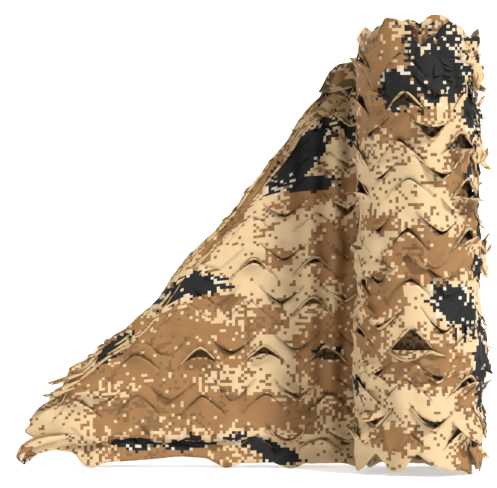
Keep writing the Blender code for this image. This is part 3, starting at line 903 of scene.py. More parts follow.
def outer_surface(along, up):
    """The outer turn, whose head leans in or out as the table of bearings says."""
    lean = column(BEARINGS, "degrees", "lean", np.degrees(np.asarray(along) / ROLL_RADIUS))
    head = np.clip((up - (ROLL_HEIGHT - HEAD_REACH)) / HEAD_REACH, 0, 1) ** 2
    return round_the_roll(STEP_ANGLE + along / ROLL_RADIUS, roll_radius(along, up) + lean * head, up)


# %% Cut and wrap the outer turn
ROLL_HABIT = Habit(seed=5, calm=18, lively=58, bold=118, lively_share=0.40, bold_share=0.09)
ROLL_CHOSEN = table(
    Chosen,
    (0.338, 0.614, 48, 0.7, 0.3), (0.298, 0.545, 72, 0.5, 0.0), (0.250, 0.545, 95, 0.6, -0.2),
    (0.330, 0.237, 128, 0.85, 0.0), (0.278, 0.237, 28, 0.2, -0.5), (0.287, 0.158, 42, 0.4, 0.5),
    (0.331, 0.395, 30, 0.2, 0.6), (0.281, 0.395, 26, 0.5, 0.6), (0.279, 0.315, 32, 0.3, 0.4),
    (0.347, 0.080, -8, 0.0, -0.3),
)
BUSY_AT, BUSY_WIDTH, BUSIER = 0.165, 0.050, 1.3


def busy_flank(along, up):
    """How much more the leaves stand out on the crumpled right flank of the roll."""
    return 1 + BUSIER * math.exp(-(((along - BUSY_AT) / BUSY_WIDTH) ** 2))


def wound_outline(hem, foot, head, step):
    """A wound cloth laid flat: its leaf-cut foot and head, and its two straight ends."""
    ends = []
    for at in (-1, 0):
        side = np.arange(foot[at] + step, head[at] - step, step)
        ends.append(np.column_stack([np.full(len(side), hem[at]), side]))
    far_end, near_end = ends
    top = np.column_stack([hem, head])[::-1]
    return np.vstack([np.column_stack([hem, foot]), far_end, top, near_end[::-1]])


def from_axis(at):
    """The way out from the roll's axis."""
    return Vector((at.x - ROLL_X, at.y - ROLL_Y, 0))


turn = ROLL_RADIUS * math.tau
hem = np.linspace(0, turn, round(turn / LEAF_PITCH * EDGE_STEPS) + 1)
outline = wound_outline(hem, profile(FOOT_EDGE, hem), profile(HEAD_EDGE, hem), SIDE_STEP)
roll_leaves = leaves_within(outline, ROLL_ROWS, ROLL_LEAF_DEPTH, ROLL_HABIT, ROLL_CHOSEN, busy_flank)
flat = cut_cloth(outline, roll_leaves, ROLL_SPACING)
outer_turn = laid_cloth("outer_turn", flat, outer_surface, ROLL_CREASES, ON_ROLL, from_axis)

# %% The turns inside, as one spiral
TURNS_INSIDE, TURN_STEPS = 4, 60
FIRST_INSET, TURN_INSET = 0.006, 0.0150
INNER_LUMPS = table(Lump, (0.0022, 3.3, 6), (0.0012, 7.1, 0))


class Spiral:
    """The winding of the inner turns: angle and radius at a distance along the cloth."""

    def __init__(self):
        self.angle = np.linspace(0, math.tau * TURNS_INSIDE, TURN_STEPS * TURNS_INSIDE)
        self.radius = ROLL_RADIUS - FIRST_INSET - TURN_INSET * (self.angle / math.tau)
        step = np.hypot(np.diff(self.radius), self.radius[1:] * np.diff(self.angle))
        self.run = np.append(0.0, np.cumsum(step))
        self.length = self.run[-1]

    def surface(self, along, up):
        turned = np.interp(along, self.run, self.angle)
        radius = np.interp(along, self.run, self.radius) + lumpy(INNER_LUMPS, turned, up)
        return round_the_roll(STEP_ANGLE + turned, radius + flank(turned, up), up)


spiral = Spiral()
print(f"the turns inside take {spiral.length:.2f} m of cloth")

# %% Cut and wind the inner turns
INNER_HEAD = table(
    EdgePoint,
    (0.000, 0.704), (0.060, 0.690), (0.120, 0.672), (0.165, 0.672), (0.190, 0.686), (0.210, 0.700),
    (0.228, 0.722), (0.240, 0.739), (0.268, 0.742), (0.280, 0.736), (0.288, 0.724), (0.296, 0.733),
    (0.314, 0.735), (0.330, 0.716), (0.345, 0.712), (0.362, 0.728), (0.385, 0.720), (0.400, 0.702),
    (0.425, 0.712), (0.450, 0.700), (0.520, 0.714), (0.560, 0.698), (0.600, 0.704),
)
INNER_TURN = 0.575
INNER_TOP, INNER_FOOT = 0.706, 0.024
INNER_SPACING = 0.012
INNER_EDGE_STEPS = 16
FOOT_PHASE, HEAD_PHASE = 0.02, 0.05
HEAD_WAVES = ((0.010, 5.1, 1), (0.007, 11.7, 0))
INNER_ROWS = table(Row, (0.060, 0.03), (0.620, 0.05), (0.690, 0.01))
INNER_HABIT = Habit(seed=21, calm=14, lively=40, bold=80, lively_share=0.25, bold_share=0.05)

hem = np.linspace(0, spiral.length, round(spiral.length / LEAF_PITCH * INNER_EDGE_STEPS) + 1)
foot = INNER_FOOT + leaf_edge(hem, FOOT_PHASE)
waves = (high * np.sin(hem * rate + phase) for high, rate, phase in HEAD_WAVES)
deeper = sum(waves, INNER_TOP) - leaf_edge(hem, HEAD_PHASE)
head = np.where(hem < INNER_TURN, profile(INNER_HEAD, hem), deeper)
outline = wound_outline(hem, foot, head, INNER_SPACING)
leaves = leaves_within(outline, INNER_ROWS, SHEET_LEAF_DEPTH, INNER_HABIT)
flat = cut_cloth(outline, leaves, INNER_SPACING)
inner_turns = laid_cloth("inner_turns", flat, spiral.surface, ROLL_CREASES, ON_INNER, from_axis)

# %% [markdown]
# ## Strips that have rolled up
#
# Narrow cut cloth rolls itself up. One strip has done so at the tip of the loose end, three where it
# ends on the left, and five stick out of the roll. Each follows a short centre line that is measured
# from the roll's axis and the floor: its cross-section is an open spiral, swept along that line. The
# same sweep gives the rolled lips beside open leaves, and the thin strips that the gathered edge
# draws along the ridge.

# %% Centre lines of the free strips
Curl = namedtuple("Curl", "left up depth radius")
TIP_STRIP = table(
    Curl,
    (0.570, 0.0540, 0.066, 0.0020), (0.590, 0.0525, 0.064, 0.0060), (0.612, 0.0495, 0.062, 0.0090),
    (0.628, 0.0455, 0.061, 0.0098), (0.642, 0.0395, 0.061, 0.0094), (0.6525, 0.0320, 0.061, 0.0086),
    (0.6585, 0.0230, 0.062, 0.0070), (0.6570, 0.0140, 0.063, 0.0050), (0.6520, 0.0075, 0.064, 0.0022),
)
SHEET_STRIPS = (
    table(Curl, (0.556, 0.1560, 0.071, 0.0015), (0.576, 0.1500, 0.067, 0.0042),
          (0.593, 0.1440, 0.065, 0.0046), (0.606, 0.1400, 0.065, 0.0036), (0.6125, 0.1405, 0.066, 0.0016)),
    table(Curl, (0.562, 0.1440, 0.071, 0.0015), (0.582, 0.1350, 0.064, 0.0044),
          (0.599, 0.1255, 0.062, 0.0048), (0.612, 0.1190, 0.062, 0.0036), (0.6215, 0.1205, 0.063, 0.0016)),
    table(Curl, (0.570, 0.1320, 0.068, 0.0010), (0.588, 0.1270, 0.063, 0.0036),
          (0.603, 0.1190, 0.062, 0.0034), (0.6120, 0.1100, 0.062, 0.0012)),
)
ROLL_STRIPS = (
    table(Curl, (0.058, 0.2010, -0.100, 0.0020), (0.048, 0.1945, -0.107, 0.0046),
          (0.036, 0.1890, -0.110, 0.0056), (0.024, 0.1895, -0.112, 0.0054),
          (0.012, 0.1935, -0.112, 0.0046), (0.000, 0.1990, -0.112, 0.0042),
          (-0.010, 0.2010, -0.111, 0.0038), (-0.020, 0.1975, -0.109, 0.0034),
          (-0.031, 0.1950, -0.106, 0.0012)),
    table(Curl, (-0.066, 0.6640, -0.076, 0.0020), (-0.074, 0.6560, -0.074, 0.0070),
          (-0.082, 0.6440, -0.066, 0.0080), (-0.086, 0.6320, -0.060, 0.0060),
          (-0.088, 0.6240, -0.058, 0.0015)),
    table(Curl, (-0.092, 0.5060, -0.044, 0.0020), (-0.098, 0.5120, -0.038, 0.0044),
          (-0.1025, 0.5200, -0.036, 0.0042), (-0.1045, 0.5290, -0.036, 0.0012)),
    table(Curl, (-0.084, 0.0960, -0.060, 0.0020), (-0.092, 0.0900, -0.052, 0.0060),
          (-0.098, 0.0800, -0.046, 0.0066), (-0.100, 0.0680, -0.044, 0.0050),
          (-0.102, 0.0580, -0.044, 0.0012)),
    table(Curl, (0.094, 0.3660, -0.050, 0.0015), (0.102, 0.3640, -0.046, 0.0040),
          (0.110, 0.3670, -0.044, 0.0036), (0.1155, 0.3710, -0.044, 0.0010)),
)

# %% Sweeping an open spiral along a line
CURL_STEPS, CURL_ROUND = 20, 11
CURL_FROM, CURL_TO = math.radians(-150), math.radians(120)
CURL_TIGHTENS = 0.35


def curled(line, out, radius, flat_line):
    """World points and flat coordinates of a strip that is rolled up round a line."""
    ahead = np.gradient(line, axis=0)
    over = np.cross(ahead, out)
    over /= np.linalg.norm(over, axis=1)[:, None]
    turn = np.linspace(CURL_FROM, CURL_TO, CURL_ROUND)
    ring = radius[:, None] * (1 - CURL_TIGHTENS * (turn - CURL_FROM) / (CURL_TO - CURL_FROM))
    points = line[:, None] - (ring * np.cos(turn))[..., None] * over[:, None]
    points = points + (ring * np.sin(turn))[..., None] * out[:, None]
    across = flat_line[:, 1:] + radius[:, None] * turn
    flat = np.stack(np.broadcast_arrays(flat_line[:, :1], across), axis=-1)
    return points.reshape(-1, 3), flat.reshape(-1, 2)


def curled_on(surface, along, up, radius, sunk):
    """A rolled-up strip that lies on a surface, sunk into it by a share of its radius."""
    place, out, _ = surface(along, up)
    line = place + out * ((1 - sunk) * radius)[:, None]
    return curled(line, out, radius, np.column_stack([along, up]))


# %% Free strips, rolled lips and the strips along the ridge
LIP_ENDS, LIP_RADIUS, LIP_SUNK = 0.86, 0.0027, 0.3
LIP_FULL, LIP_WAVE, WAVES_ALONG_LIP, LIP_PHASE = 1.05, 0.3, 9, 90
RidgeStrip = namedtuple("RidgeStrip", "start length below slope thick")
RIDGE_STRIP = RidgeStrip(start=(0.150, 0.560), length=(0.030, 0.080), below=(0.006, 0.046),
                         slope=(-0.14, 0.14), thick=(0.0015, 0.0030))
RIDGE_STRIP_SUNK, RIDGE_STRIP_WAVE, RIDGE_STRIP_PHASE = 0.1, 0.0012, 70


def free_strip(strip):
    """A strip that has its own centre line."""
    knots, at = np.linspace(0, 1, len(strip)), np.linspace(0, 1, CURL_STEPS)
    left, up, depth, radius = (np.interp(at, knots, values) for values in np.array(strip).T)
    line = np.column_stack([ROLL_X - left, ROLL_Y + depth, up])
    return curled(line, np.tile((0.0, -1.0, 0.0), (CURL_STEPS, 1)), radius, np.column_stack([left, up]))


def rolled_lip(leaf, surface):
    """The lip beside an open leaf, where the cloth has rolled outwards a little."""
    t = np.linspace(-LIP_ENDS, LIP_ENDS, CURL_STEPS)
    along = leaf.along + t * leaf.span / 2
    up = leaf.up + leaf.way * (leaf.depth * rounded_v(t) - leaf.gap * (1 - t * t))
    wave = 1 + LIP_WAVE * np.sin(WAVES_ALONG_LIP * t + leaf.along * LIP_PHASE)
    return curled_on(surface, along, up, LIP_RADIUS * (LIP_FULL - t * t) * wave, LIP_SUNK)


def ridge_strips(count, seed):
    """Thin strips that lie along the ridge of the loose end, where the cut cloth is drawn tight."""
    draw = np.random.default_rng(seed)
    t = np.linspace(0, 1, CURL_STEPS)
    for _ in range(count):
        start, length, below, slope, thick = (draw.uniform(*ends) for ends in RIDGE_STRIP)
        along = start + t * length
        wave = RIDGE_STRIP_WAVE * np.sin(WAVES_ALONG_LIP * t + start * RIDGE_STRIP_PHASE)
        up = front_drape.width(along) - below - slope * t * length + wave
        radius = thick * np.sqrt(np.sin(math.pi * np.clip(t, 0.02, 0.98)))
        yield curled_on(front_drape.surface, along, up, radius, RIDGE_STRIP_SUNK)


# %% Many small grids of cloth as one object


def grid_faces(rows, columns):
    """Triangles between the points of a grid, two for each of its squares."""
    grid = np.arange(rows * columns).reshape(rows, columns)
    a, b, c, d = (part.ravel() for part in (grid[:-1, :-1], grid[:-1, 1:], grid[1:, 1:], grid[1:, :-1]))
    return np.vstack([np.column_stack([a, b, c]), np.column_stack([a, c, d])])


def grids_object(name, made, faces, shift):
    """One object of many small grids of cloth, each given as its points and its flat points."""
    points, flat = (np.vstack(part) for part in zip(*made))
    all_faces = np.vstack([faces + i * len(one) for i, (one, _) in enumerate(made)])
    return cloth_object(name, Flat(flat, all_faces, None, None), points, shift)


# %% Make the rolled-up strips
CURL_FACES = grid_faces(CURL_STEPS, CURL_ROUND)
SHEET_LIP_BEND, ROLL_LIP_BEND = 40, 34
RIDGE_STRIP_COUNT, RIDGE_STRIP_SEED = 40, 12


def rolled_lips(leaves, least_bend, surface):
    """The lips of the leaves that are bent at least so far."""
    return [rolled_lip(leaf, surface) for leaf in leaves if leaf.bend > least_bend]


tip_strip = grids_object("curled_tip_of_loose_cloth", [free_strip(TIP_STRIP)], CURL_FACES, ON_FRONT)
sheet_made = [free_strip(strip) for strip in SHEET_STRIPS]
sheet_made += rolled_lips(front_leaves, SHEET_LIP_BEND, front_drape.surface)
sheet_made += ridge_strips(RIDGE_STRIP_COUNT, RIDGE_STRIP_SEED)
sheet_curls = grids_object("curled_strips_of_loose_cloth", sheet_made, CURL_FACES, ON_TURNED)
roll_made = [free_strip(strip) for strip in ROLL_STRIPS]
roll_made += rolled_lips(roll_leaves, ROLL_LIP_BEND, outer_surface)
roll_curls = grids_object("curled_strips_of_roll", roll_made, CURL_FACES, ON_ROLL_CURLS)
print(f"rolled up: {1 + len(sheet_made)} strips and lips on the loose end, {len(roll_made)} on the roll")

# %% [markdown]
# ## Leaves that stand out
#
# Here and there a leaf of a layer below pushes out between the others and breaks the outline. Each
# is a single leaf that is rooted on the surface it comes out of. `turn` is where its tip points:
# 0 down, 90 to the right, 180 up. It leaves the surface at `lift` degrees, and bends by `curl`.

# %% One standing leaf
Flap = namedtuple("Flap", "along up turn lift curl length width")
FLAP_ROWS, FLAP_COLUMNS = 10, 7
FLAP_TIP = 0.985
FLAP_ROUND = 0.30
FLAP_CUP = 0.16
FLAP_SINK = 0.0015
LEAST_WIDTH = 1e-6


def flap_points(flap, surface):
    """World points of one leaf, from its root to its tip, and its flat coordinates."""
    walk = np.linspace(0, FLAP_TIP, FLAP_ROWS)
    rise = (1 - walk) * (math.hypot(1, FLAP_ROUND) - FLAP_ROUND) + FLAP_ROUND
    half = np.sqrt(np.maximum(rise ** 2 - FLAP_ROUND ** 2, LEAST_WIDTH)) * flap.width / 2
    side = np.linspace(-1, 1, FLAP_COLUMNS)
    sin, cos = math.sin(math.radians(flap.turn)), math.cos(math.radians(flap.turn))
    root = np.array([flap.along, flap.up]) + (half[:, None] * side)[..., None] * (-cos, sin)
    flat = root + (walk * flap.length)[:, None, None] * (-sin, -cos)
    place, out, up = surface(root[..., 0].ravel(), root[..., 1].ravel())
    ahead = np.cross(up, out) * sin - up * cos
    bend = np.radians(flap.lift + flap.curl * walk)
    step = np.append(0.0, np.diff(walk)) * flap.length
    cup = FLAP_CUP * flap.width * (walk * half / half[0])[:, None] * side ** 2
    forward = np.cumsum(step * np.cos(bend))[:, None] - cup * np.sin(bend)[:, None]
    outward = (np.cumsum(step * np.sin(bend)) - FLAP_SINK * (1 - walk) ** 4)[:, None]
    outward = outward + cup * np.cos(bend)[:, None]
    return place + forward.reshape(-1, 1) * ahead + outward.reshape(-1, 1) * out, flat.reshape(-1, 2)


FLAP_FACES = grid_faces(FLAP_ROWS, FLAP_COLUMNS)[:, [0, 2, 1]]


def flaps_object(name, flaps, surface, shift):
    """All the standing leaves of one surface."""
    return grids_object(name, [flap_points(flap, surface) for flap in flaps], FLAP_FACES, shift)


# %% Standing leaves that are placed one by one
ROLL_FLAPS = table(
    Flap,
    (0.152, 0.350, 178, 34, -8, 0.026, 0.018), (0.150, 0.516, 140, 42, -10, 0.017, 0.024),
    (0.185, 0.640, 35, 10, 38, 0.032, 0.050), (0.205, 0.600, 15, 10, 34, 0.030, 0.046),
    (0.205, 0.618, -40, 8, 30, 0.026, 0.040), (0.150, 0.172, 70, 30, 10, 0.018, 0.022),
    (0.148, 0.196, 110, 36, -20, 0.016, 0.020), (0.155, 0.212, 30, 25, 25, 0.020, 0.022),
    (0.238, 0.098, 8, 12, 30, 0.050, 0.060), (0.206, 0.050, 4, 10, -6, 0.046, 0.046),
    (0.185, 0.040, 40, 20, 40, 0.026, 0.030), (0.470, 0.367, -75, 20, 50, 0.018, 0.026),
    (0.478, 0.668, -100, 20, 0, 0.010, 0.012), (0.354, 0.088, 2, 9, 12, 0.050, 0.070),
    (0.398, 0.080, -25, 12, 20, 0.034, 0.050), (0.232, 0.104, 168, 2, 26, 0.044, 0.058),
    (0.210, 0.646, 60, 2, 12, 0.026, 0.040),
)
SHEET_FLAPS = table(
    Flap,
    (0.586, 0.166, -70, 10, 20, 0.024, 0.036), (0.560, 0.196, -92, 8, 12, 0.020, 0.030),
)
TURNED_FLAPS = table(
    Flap,
    (0.100, 0.698, -58, 9, 4, 0.078, 0.078), (0.104, 0.716, -78, 10, 6, 0.038, 0.034),
    (0.104, 0.722, -128, 6, 0, 0.014, 0.012), (0.128, 0.652, -46, 4, 8, 0.066, 0.066),
    (0.106, 0.656, -4, 6, 8, 0.048, 0.052), (0.120, 0.628, 6, 8, 10, 0.042, 0.046),
    (0.150, 0.640, -62, 5, 6, 0.040, 0.040),
)
CROWN_FLAPS = table(
    Flap,
    (0.262, 0.690, 172, 3, 2, 0.044, 0.086), (0.300, 0.684, 188, 0, 6, 0.042, 0.080),
    (0.352, 0.678, 176, -4, 10, 0.040, 0.084), (0.218, 0.658, 152, 8, -10, 0.040, 0.056),
    (0.192, 0.642, 160, 8, -14, 0.036, 0.050),
)
FLANK_CHOSEN = table(
    Flap,
    (0.306, 0.668, 166, 4, -4, 0.040, 0.046), (0.290, 0.680, 148, 6, -8, 0.034, 0.038),
    (0.318, 0.674, 200, 5, -6, 0.028, 0.030), (0.230, 0.690, 120, 4, 4, 0.030, 0.036),
)

# %% Standing leaves that are drawn at random
Spread = namedtuple("Spread", "seed count along up turn lift curl length width")
ROLL_SPREADS = table(
    Spread,
    (4, 14, (0.440, 0.475), (0.060, 0.660), (-120, -30), (3, 12), (0, 30), (0.010, 0.020), (0.014, 0.030)),
    (7, 16, (0.190, 0.290), (0.630, 0.690), (-60, 120), (3, 14), (0, 30), (0.018, 0.034), (0.022, 0.050)),
    (8, 9, (0.240, 0.430), (0.120, 0.660), (-18, 18), (2, 8), (4, 30), (0.024, 0.036), (0.044, 0.072)),
    (9, 7, (0.240, 0.430), (0.100, 0.600), (165, 195), (2, 8), (4, 30), (0.024, 0.036), (0.044, 0.072)),
)
FLANK_SPREAD = Spread(3, 110, along=(0.118, 0.228), up=(0.030, 0.670), turn=(-60, 150), lift=(0, 5),
                      curl=(-16, 8), length=(0.011, 0.026), width=(0.012, 0.036))
RIDGE_SPREAD = Spread(6, 44, along=(0.150, 0.612), up=(0.004, 0.022), turn=(-112, -30), lift=(1, 7),
                      curl=(0, 10), length=(0.009, 0.016), width=(0.014, 0.032))


def scattered(spread):
    """Leaves drawn at random, each of their values between the two ends of its range."""
    draw = np.random.default_rng(spread.seed)
    return [Flap(*(draw.uniform(*ends) for ends in spread[2:])) for _ in range(spread.count)]


def along_the_ridge(flaps):
    """The same leaves, with their levels counted down from the ridge of the front layer."""
    return [flap._replace(up=float(front_drape.width(flap.along)) - flap.up) for flap in flaps]


ROLL_FLAPS += [flap for spread in ROLL_SPREADS for flap in scattered(spread)]
FLANK_FLAPS = scattered(FLANK_SPREAD) + FLANK_CHOSEN
SHEET_FLAPS += along_the_ridge(scattered(RIDGE_SPREAD))
print(f"standing leaves: {len(ROLL_FLAPS + FLANK_FLAPS + CROWN_FLAPS)} on the roll, "
      f"{len(SHEET_FLAPS + TURNED_FLAPS)} on the loose end")

# %% Make the standing leaves
roll_flaps = flaps_object("standing_leaves_of_roll", ROLL_FLAPS, outer_surface, ON_ROLL)
flank_flaps = flaps_object("crumpled_leaves_of_roll", FLANK_FLAPS, outer_surface, ON_FLANK)
crown_flaps = flaps_object("crown_leaves", CROWN_FLAPS, spiral.surface, ON_CROWN)
sheet_flaps = flaps_object("standing_leaves_of_loose_cloth", SHEET_FLAPS, front_drape.surface, ON_FRONT)
turned_flaps = flaps_object("turned_leaves_of_loose_cloth", TURNED_FLAPS, front_drape.surface, ON_TURNED)

# %% [markdown]
# ## Shader maths as Python
#
# A node tree for a formula soon becomes a tangle. This small class wraps one socket and overloads
# the arithmetic operators, so that an expression on values adds its Math nodes by itself. Any other
# node comes from `Shader.add`, which takes the node's type, its settings and its sockets.

# %% The value class


class Value:
    """One number socket of a material, which takes part in Python arithmetic."""

    def __init__(self, shader, socket):
        self.shader, self.socket = shader, socket

    def math(self, operation, *others):
        return self.shader.add("ShaderNodeMath", {"operation": operation}, [self, *others])

    def __add__(self, other):
        return self.math("ADD", other)

    def __sub__(self, other):
        return self.math("SUBTRACT", other)

    def __rsub__(self, other):
        return self.shader.add("ShaderNodeMath", {"operation": "SUBTRACT"}, [other, self])

    def __mul__(self, other):
        return self.math("MULTIPLY", other)

    def __gt__(self, other):
        return self.math("GREATER_THAN", other)

    def biggest(self, other):
        return self.math("MAXIMUM", other)

    def smallest(self, other):
        return self.math("MINIMUM", other)

    __radd__, __rmul__ = __add__, __mul__


# %% The shader class


class Shader:
    """A material's node tree, with one method that adds any node."""

    def __init__(self, name):
        self.material = bpy.data.materials.new(name)
        self.material.use_nodes = True
        self.tree = self.material.node_tree
        self.principled = self.tree.nodes["Principled BSDF"]

    def put(self, socket, value):
        """Sets a socket to a constant, or links it."""
        if isinstance(value, Value):
            self.tree.links.new(value.socket, socket)
        else:
            socket.default_value = value

    def add(self, kind, settings=None, inputs=None, output=0):
        """Adds a node: its settings first, then its sockets by place or by name."""
        node = self.tree.nodes.new(kind)
        for name, value in (settings or {}).items():
            setattr(node, name, value)
        items = inputs.items() if isinstance(inputs, dict) else enumerate(inputs or [])
        for key, value in items:
            self.put(node.inputs[key], value)
        return Value(self, node.outputs[output])

    def set(self, **inputs):
        """Sets or links inputs of the Principled BSDF, by name with _ for spaces."""
        for name, value in inputs.items():
            self.put(self.principled.inputs[name.replace("_", " ")], value)


# %% [markdown]
# ## The print
#
# The cloth has a generic desert print of small squares: sand, two browns and a soft black, with
# single squares of pale sand, olive and cream. An image could carry it, but this print has no seam
# and no pixels, and is no copy of a real one. On the real cloth it is printed flat, so it is worked
# out here in flat cloth coordinates. Each colour's area is a few soft ovals plus slow noise. Snapping
# those coordinates to a 5 mm grid turns the areas into squares, and a random number for each square
# breaks their edges up.

# %% Printed areas of the loose end
Patch = namedtuple("Patch", "u v wide high turn")
FRONT_BLACK = table(
    Patch,
    (0.199, 0.530, 0.085, 0.030, -47), (0.180, 0.478, 0.050, 0.014, -5), (0.380, 0.322, 0.060, 0.024, 4),
    (0.508, 0.222, 0.045, 0.016, -43), (0.112, 0.580, 0.012, 0.036, 0), (0.150, 0.198, 0.026, 0.010, 0),
    (0.138, 0.655, 0.040, 0.012, -12), (0.460, 0.042, 0.042, 0.014, 0), (0.384, 0.044, 0.044, 0.014, -6),
    (0.248, 0.030, 0.068, 0.018, 26), (0.656, 0.002, 0.018, 0.021, 0),
)
FRONT_BROWN = table(
    Patch,
    (0.145, 0.650, 0.045, 0.050, -40), (0.288, 0.485, 0.150, 0.022, -55), (0.155, 0.470, 0.080, 0.030, -8),
    (0.130, 0.365, 0.058, 0.062, 0), (0.425, 0.215, 0.150, 0.072, 6), (0.228, 0.355, 0.024, 0.022, 0),
    (0.250, 0.252, 0.038, 0.024, 0), (0.340, 0.285, 0.050, 0.020, 0), (0.150, 0.185, 0.058, 0.085, 0),
    (0.310, 0.098, 0.210, 0.034, 0), (0.400, 0.130, 0.090, 0.040, 0), (0.112, 0.320, 0.018, 0.060, 0),
    (0.548, 0.172, 0.065, 0.032, -30), (0.470, 0.095, 0.080, 0.052, 0), (0.500, 0.170, 0.070, 0.030, 0),
    (0.400, 0.020, 0.130, 0.024, 0), (0.646, 0.036, 0.012, 0.012, 0),
)
BACK_BLACK = table(
    Patch,
    (3.030, 0.430, 0.060, 0.026, 12), (3.020, 0.160, 0.040, 0.024, -20),
)
BACK_BROWN = table(
    Patch,
    (3.030, 0.600, 0.070, 0.050, -10), (3.050, 0.280, 0.070, 0.055, 8), (3.010, 0.060, 0.060, 0.035, 0),
)
TURNED_BLACK = table(
    Patch,
    (1.612, 0.704, 0.026, 0.013, 0), (1.640, 0.686, 0.016, 0.015, 0), (1.618, 0.668, 0.018, 0.010, 0),
    (1.660, 0.662, 0.014, 0.016, 0),
)

# %% Printed areas of the roll
ROLL_BLACK = table(
    Patch,
    (0.291, 0.675, 0.046, 0.075, 0), (0.258, 0.640, 0.034, 0.038, 0), (0.186, 0.692, 0.026, 0.036, 0),
    (0.350, 0.622, 0.032, 0.032, 0), (0.310, 0.645, 0.030, 0.012, 0), (0.212, 0.590, 0.026, 0.044, 0),
    (0.246, 0.262, 0.060, 0.031, 35), (0.192, 0.160, 0.028, 0.090, 0), (0.440, 0.140, 0.012, 0.018, 0),
    (0.040, 0.500, 0.060, 0.028, 20), (0.100, 0.290, 0.035, 0.030, -30), (0.575, 0.410, 0.050, 0.026, 15),
    (0.540, 0.215, 0.032, 0.030, -25), (0.030, 0.100, 0.034, 0.020, 0),
)
ROLL_BROWN = table(
    Patch,
    (0.398, 0.625, 0.090, 0.130, 0), (0.236, 0.485, 0.042, 0.052, 0), (0.205, 0.425, 0.032, 0.070, 0),
    (0.280, 0.348, 0.090, 0.045, 6), (0.385, 0.402, 0.040, 0.016, 0), (0.375, 0.285, 0.045, 0.038, 0),
    (0.300, 0.180, 0.080, 0.044, 0), (0.405, 0.220, 0.040, 0.030, 0), (0.348, 0.058, 0.046, 0.030, 0),
    (0.232, 0.125, 0.026, 0.026, 0), (0.212, 0.020, 0.036, 0.024, 0), (0.060, 0.630, 0.060, 0.050, 10),
    (0.090, 0.390, 0.070, 0.045, -8), (0.040, 0.200, 0.055, 0.055, 0), (0.125, 0.080, 0.045, 0.032, 0),
    (0.560, 0.530, 0.075, 0.055, 12), (0.610, 0.310, 0.055, 0.050, 0), (0.520, 0.110, 0.060, 0.045, -6),
    (0.590, 0.690, 0.055, 0.030, 0),
)

# %% Colours
SAND = (0.528, 0.380, 0.214, 1)
PALE = (0.540, 0.372, 0.215, 1)
BROWN = (0.242, 0.126, 0.050, 1)
DEEP_BROWN = (0.165, 0.088, 0.036, 1)
OLIVE = (0.180, 0.100, 0.042, 1)
BLACK = (0.0125, 0.012, 0.0125, 1)
CREAM = (0.520, 0.470, 0.370, 1)
# Warm tint of the cloth's back: partly its washed-out print, partly a painted glow of light shining through
# it.
PAINTED_GLOW_KHAKI = (0.320, 0.195, 0.062, 1)
# Painted shade: the dark brown that the inner turns fade to below the roll's rim.
PAINTED_SHADE = (0.055, 0.029, 0.010, 1)
# Painted shade along the cut edges. RAW_PALE below is the pale colour of bare threads.
RAW_EDGE_SHADE = (0.150, 0.088, 0.036, 1)
RAW_PALE = (0.560, 0.410, 0.220, 1)

# %% How each colour claims its squares
CELL = 0.0050
Claim = namedtuple("Claim", "scale noise ragged seed")
BROWN_CLAIM, BLACK_CLAIM, DEEP_CLAIM = table(
    Claim, (11.0, 1.4, 0.62, 0), (14.0, 1.25, 0.66, 3), (15.0, 1.6, 0.5, 7))
PATCH_CLAIM = 0.9
NOISE_DETAIL, NOISE_ROUGHNESS = 2.0, 0.6


def claimed(shader, at, patches, claim, floor, seed):
    """How strongly a colour claims each place: above 0 it is printed there."""
    nearest = None
    for patch in patches:
        turned = shader.add("ShaderNodeMapping", {"vector_type": "TEXTURE"}, {
            "Vector": at, "Location": (patch.u, patch.v, 0),
            "Rotation": (0, 0, math.radians(patch.turn)), "Scale": (patch.wide, patch.high, 1)})
        here = 1 - shader.add("ShaderNodeVectorMath", {"operation": "LENGTH"}, [turned], output=1)
        nearest = here if nearest is None else nearest.biggest(here)
    slow = shader.add("ShaderNodeTexNoise", {"noise_dimensions": "4D"}, {
        "Vector": at, "W": seed + claim.seed, "Scale": claim.scale, "Detail": NOISE_DETAIL,
        "Roughness": NOISE_ROUGHNESS})
    ground = slow * claim.noise - claim.noise / 2
    return ground + floor if nearest is None else nearest.biggest(floor) * PATCH_CLAIM + ground


def mixed(shader, factor, first, second):
    """A colour between two, through a Mix node."""
    return shader.add("ShaderNodeMix", {"data_type": "RGBA"}, {0: factor, 6: first, 7: second}, output=2)


def snapped(shader, at, wide, high):
    """Cloth coordinates snapped to squares or oblongs of the print."""
    return shader.add("ShaderNodeVectorMath", {"operation": "SNAP"}, [at, (wide, high, 1)])


def chance(shader, at, seed):
    """A random number from 0 to 1 for each square."""
    return shader.add("ShaderNodeTexWhiteNoise", {"noise_dimensions": "4D"}, {"Vector": at, "W": seed})


# %% The print as one expression
SINGLE_SHARE, LONG_SHARE, TALL_SHARE = 0.40, 0.40, 0.35
RAGGED_MIDDLE = (SINGLE_SHARE + LONG_SHARE + TALL_SHARE) / 2
SPECK_SINGLE, SPECK_PAIR = 0.55, 0.25
DEEP_FROM = 0.16
Speck = namedtuple("Speck", "near above")
ON_SAND, ON_BROWN, ON_BLACK = table(Speck, (0.27, 0.915), (0.26, 0.890), (0.29, 0.925))
BROWN_FADE, BLACK_FADE = 1.7, 2.0


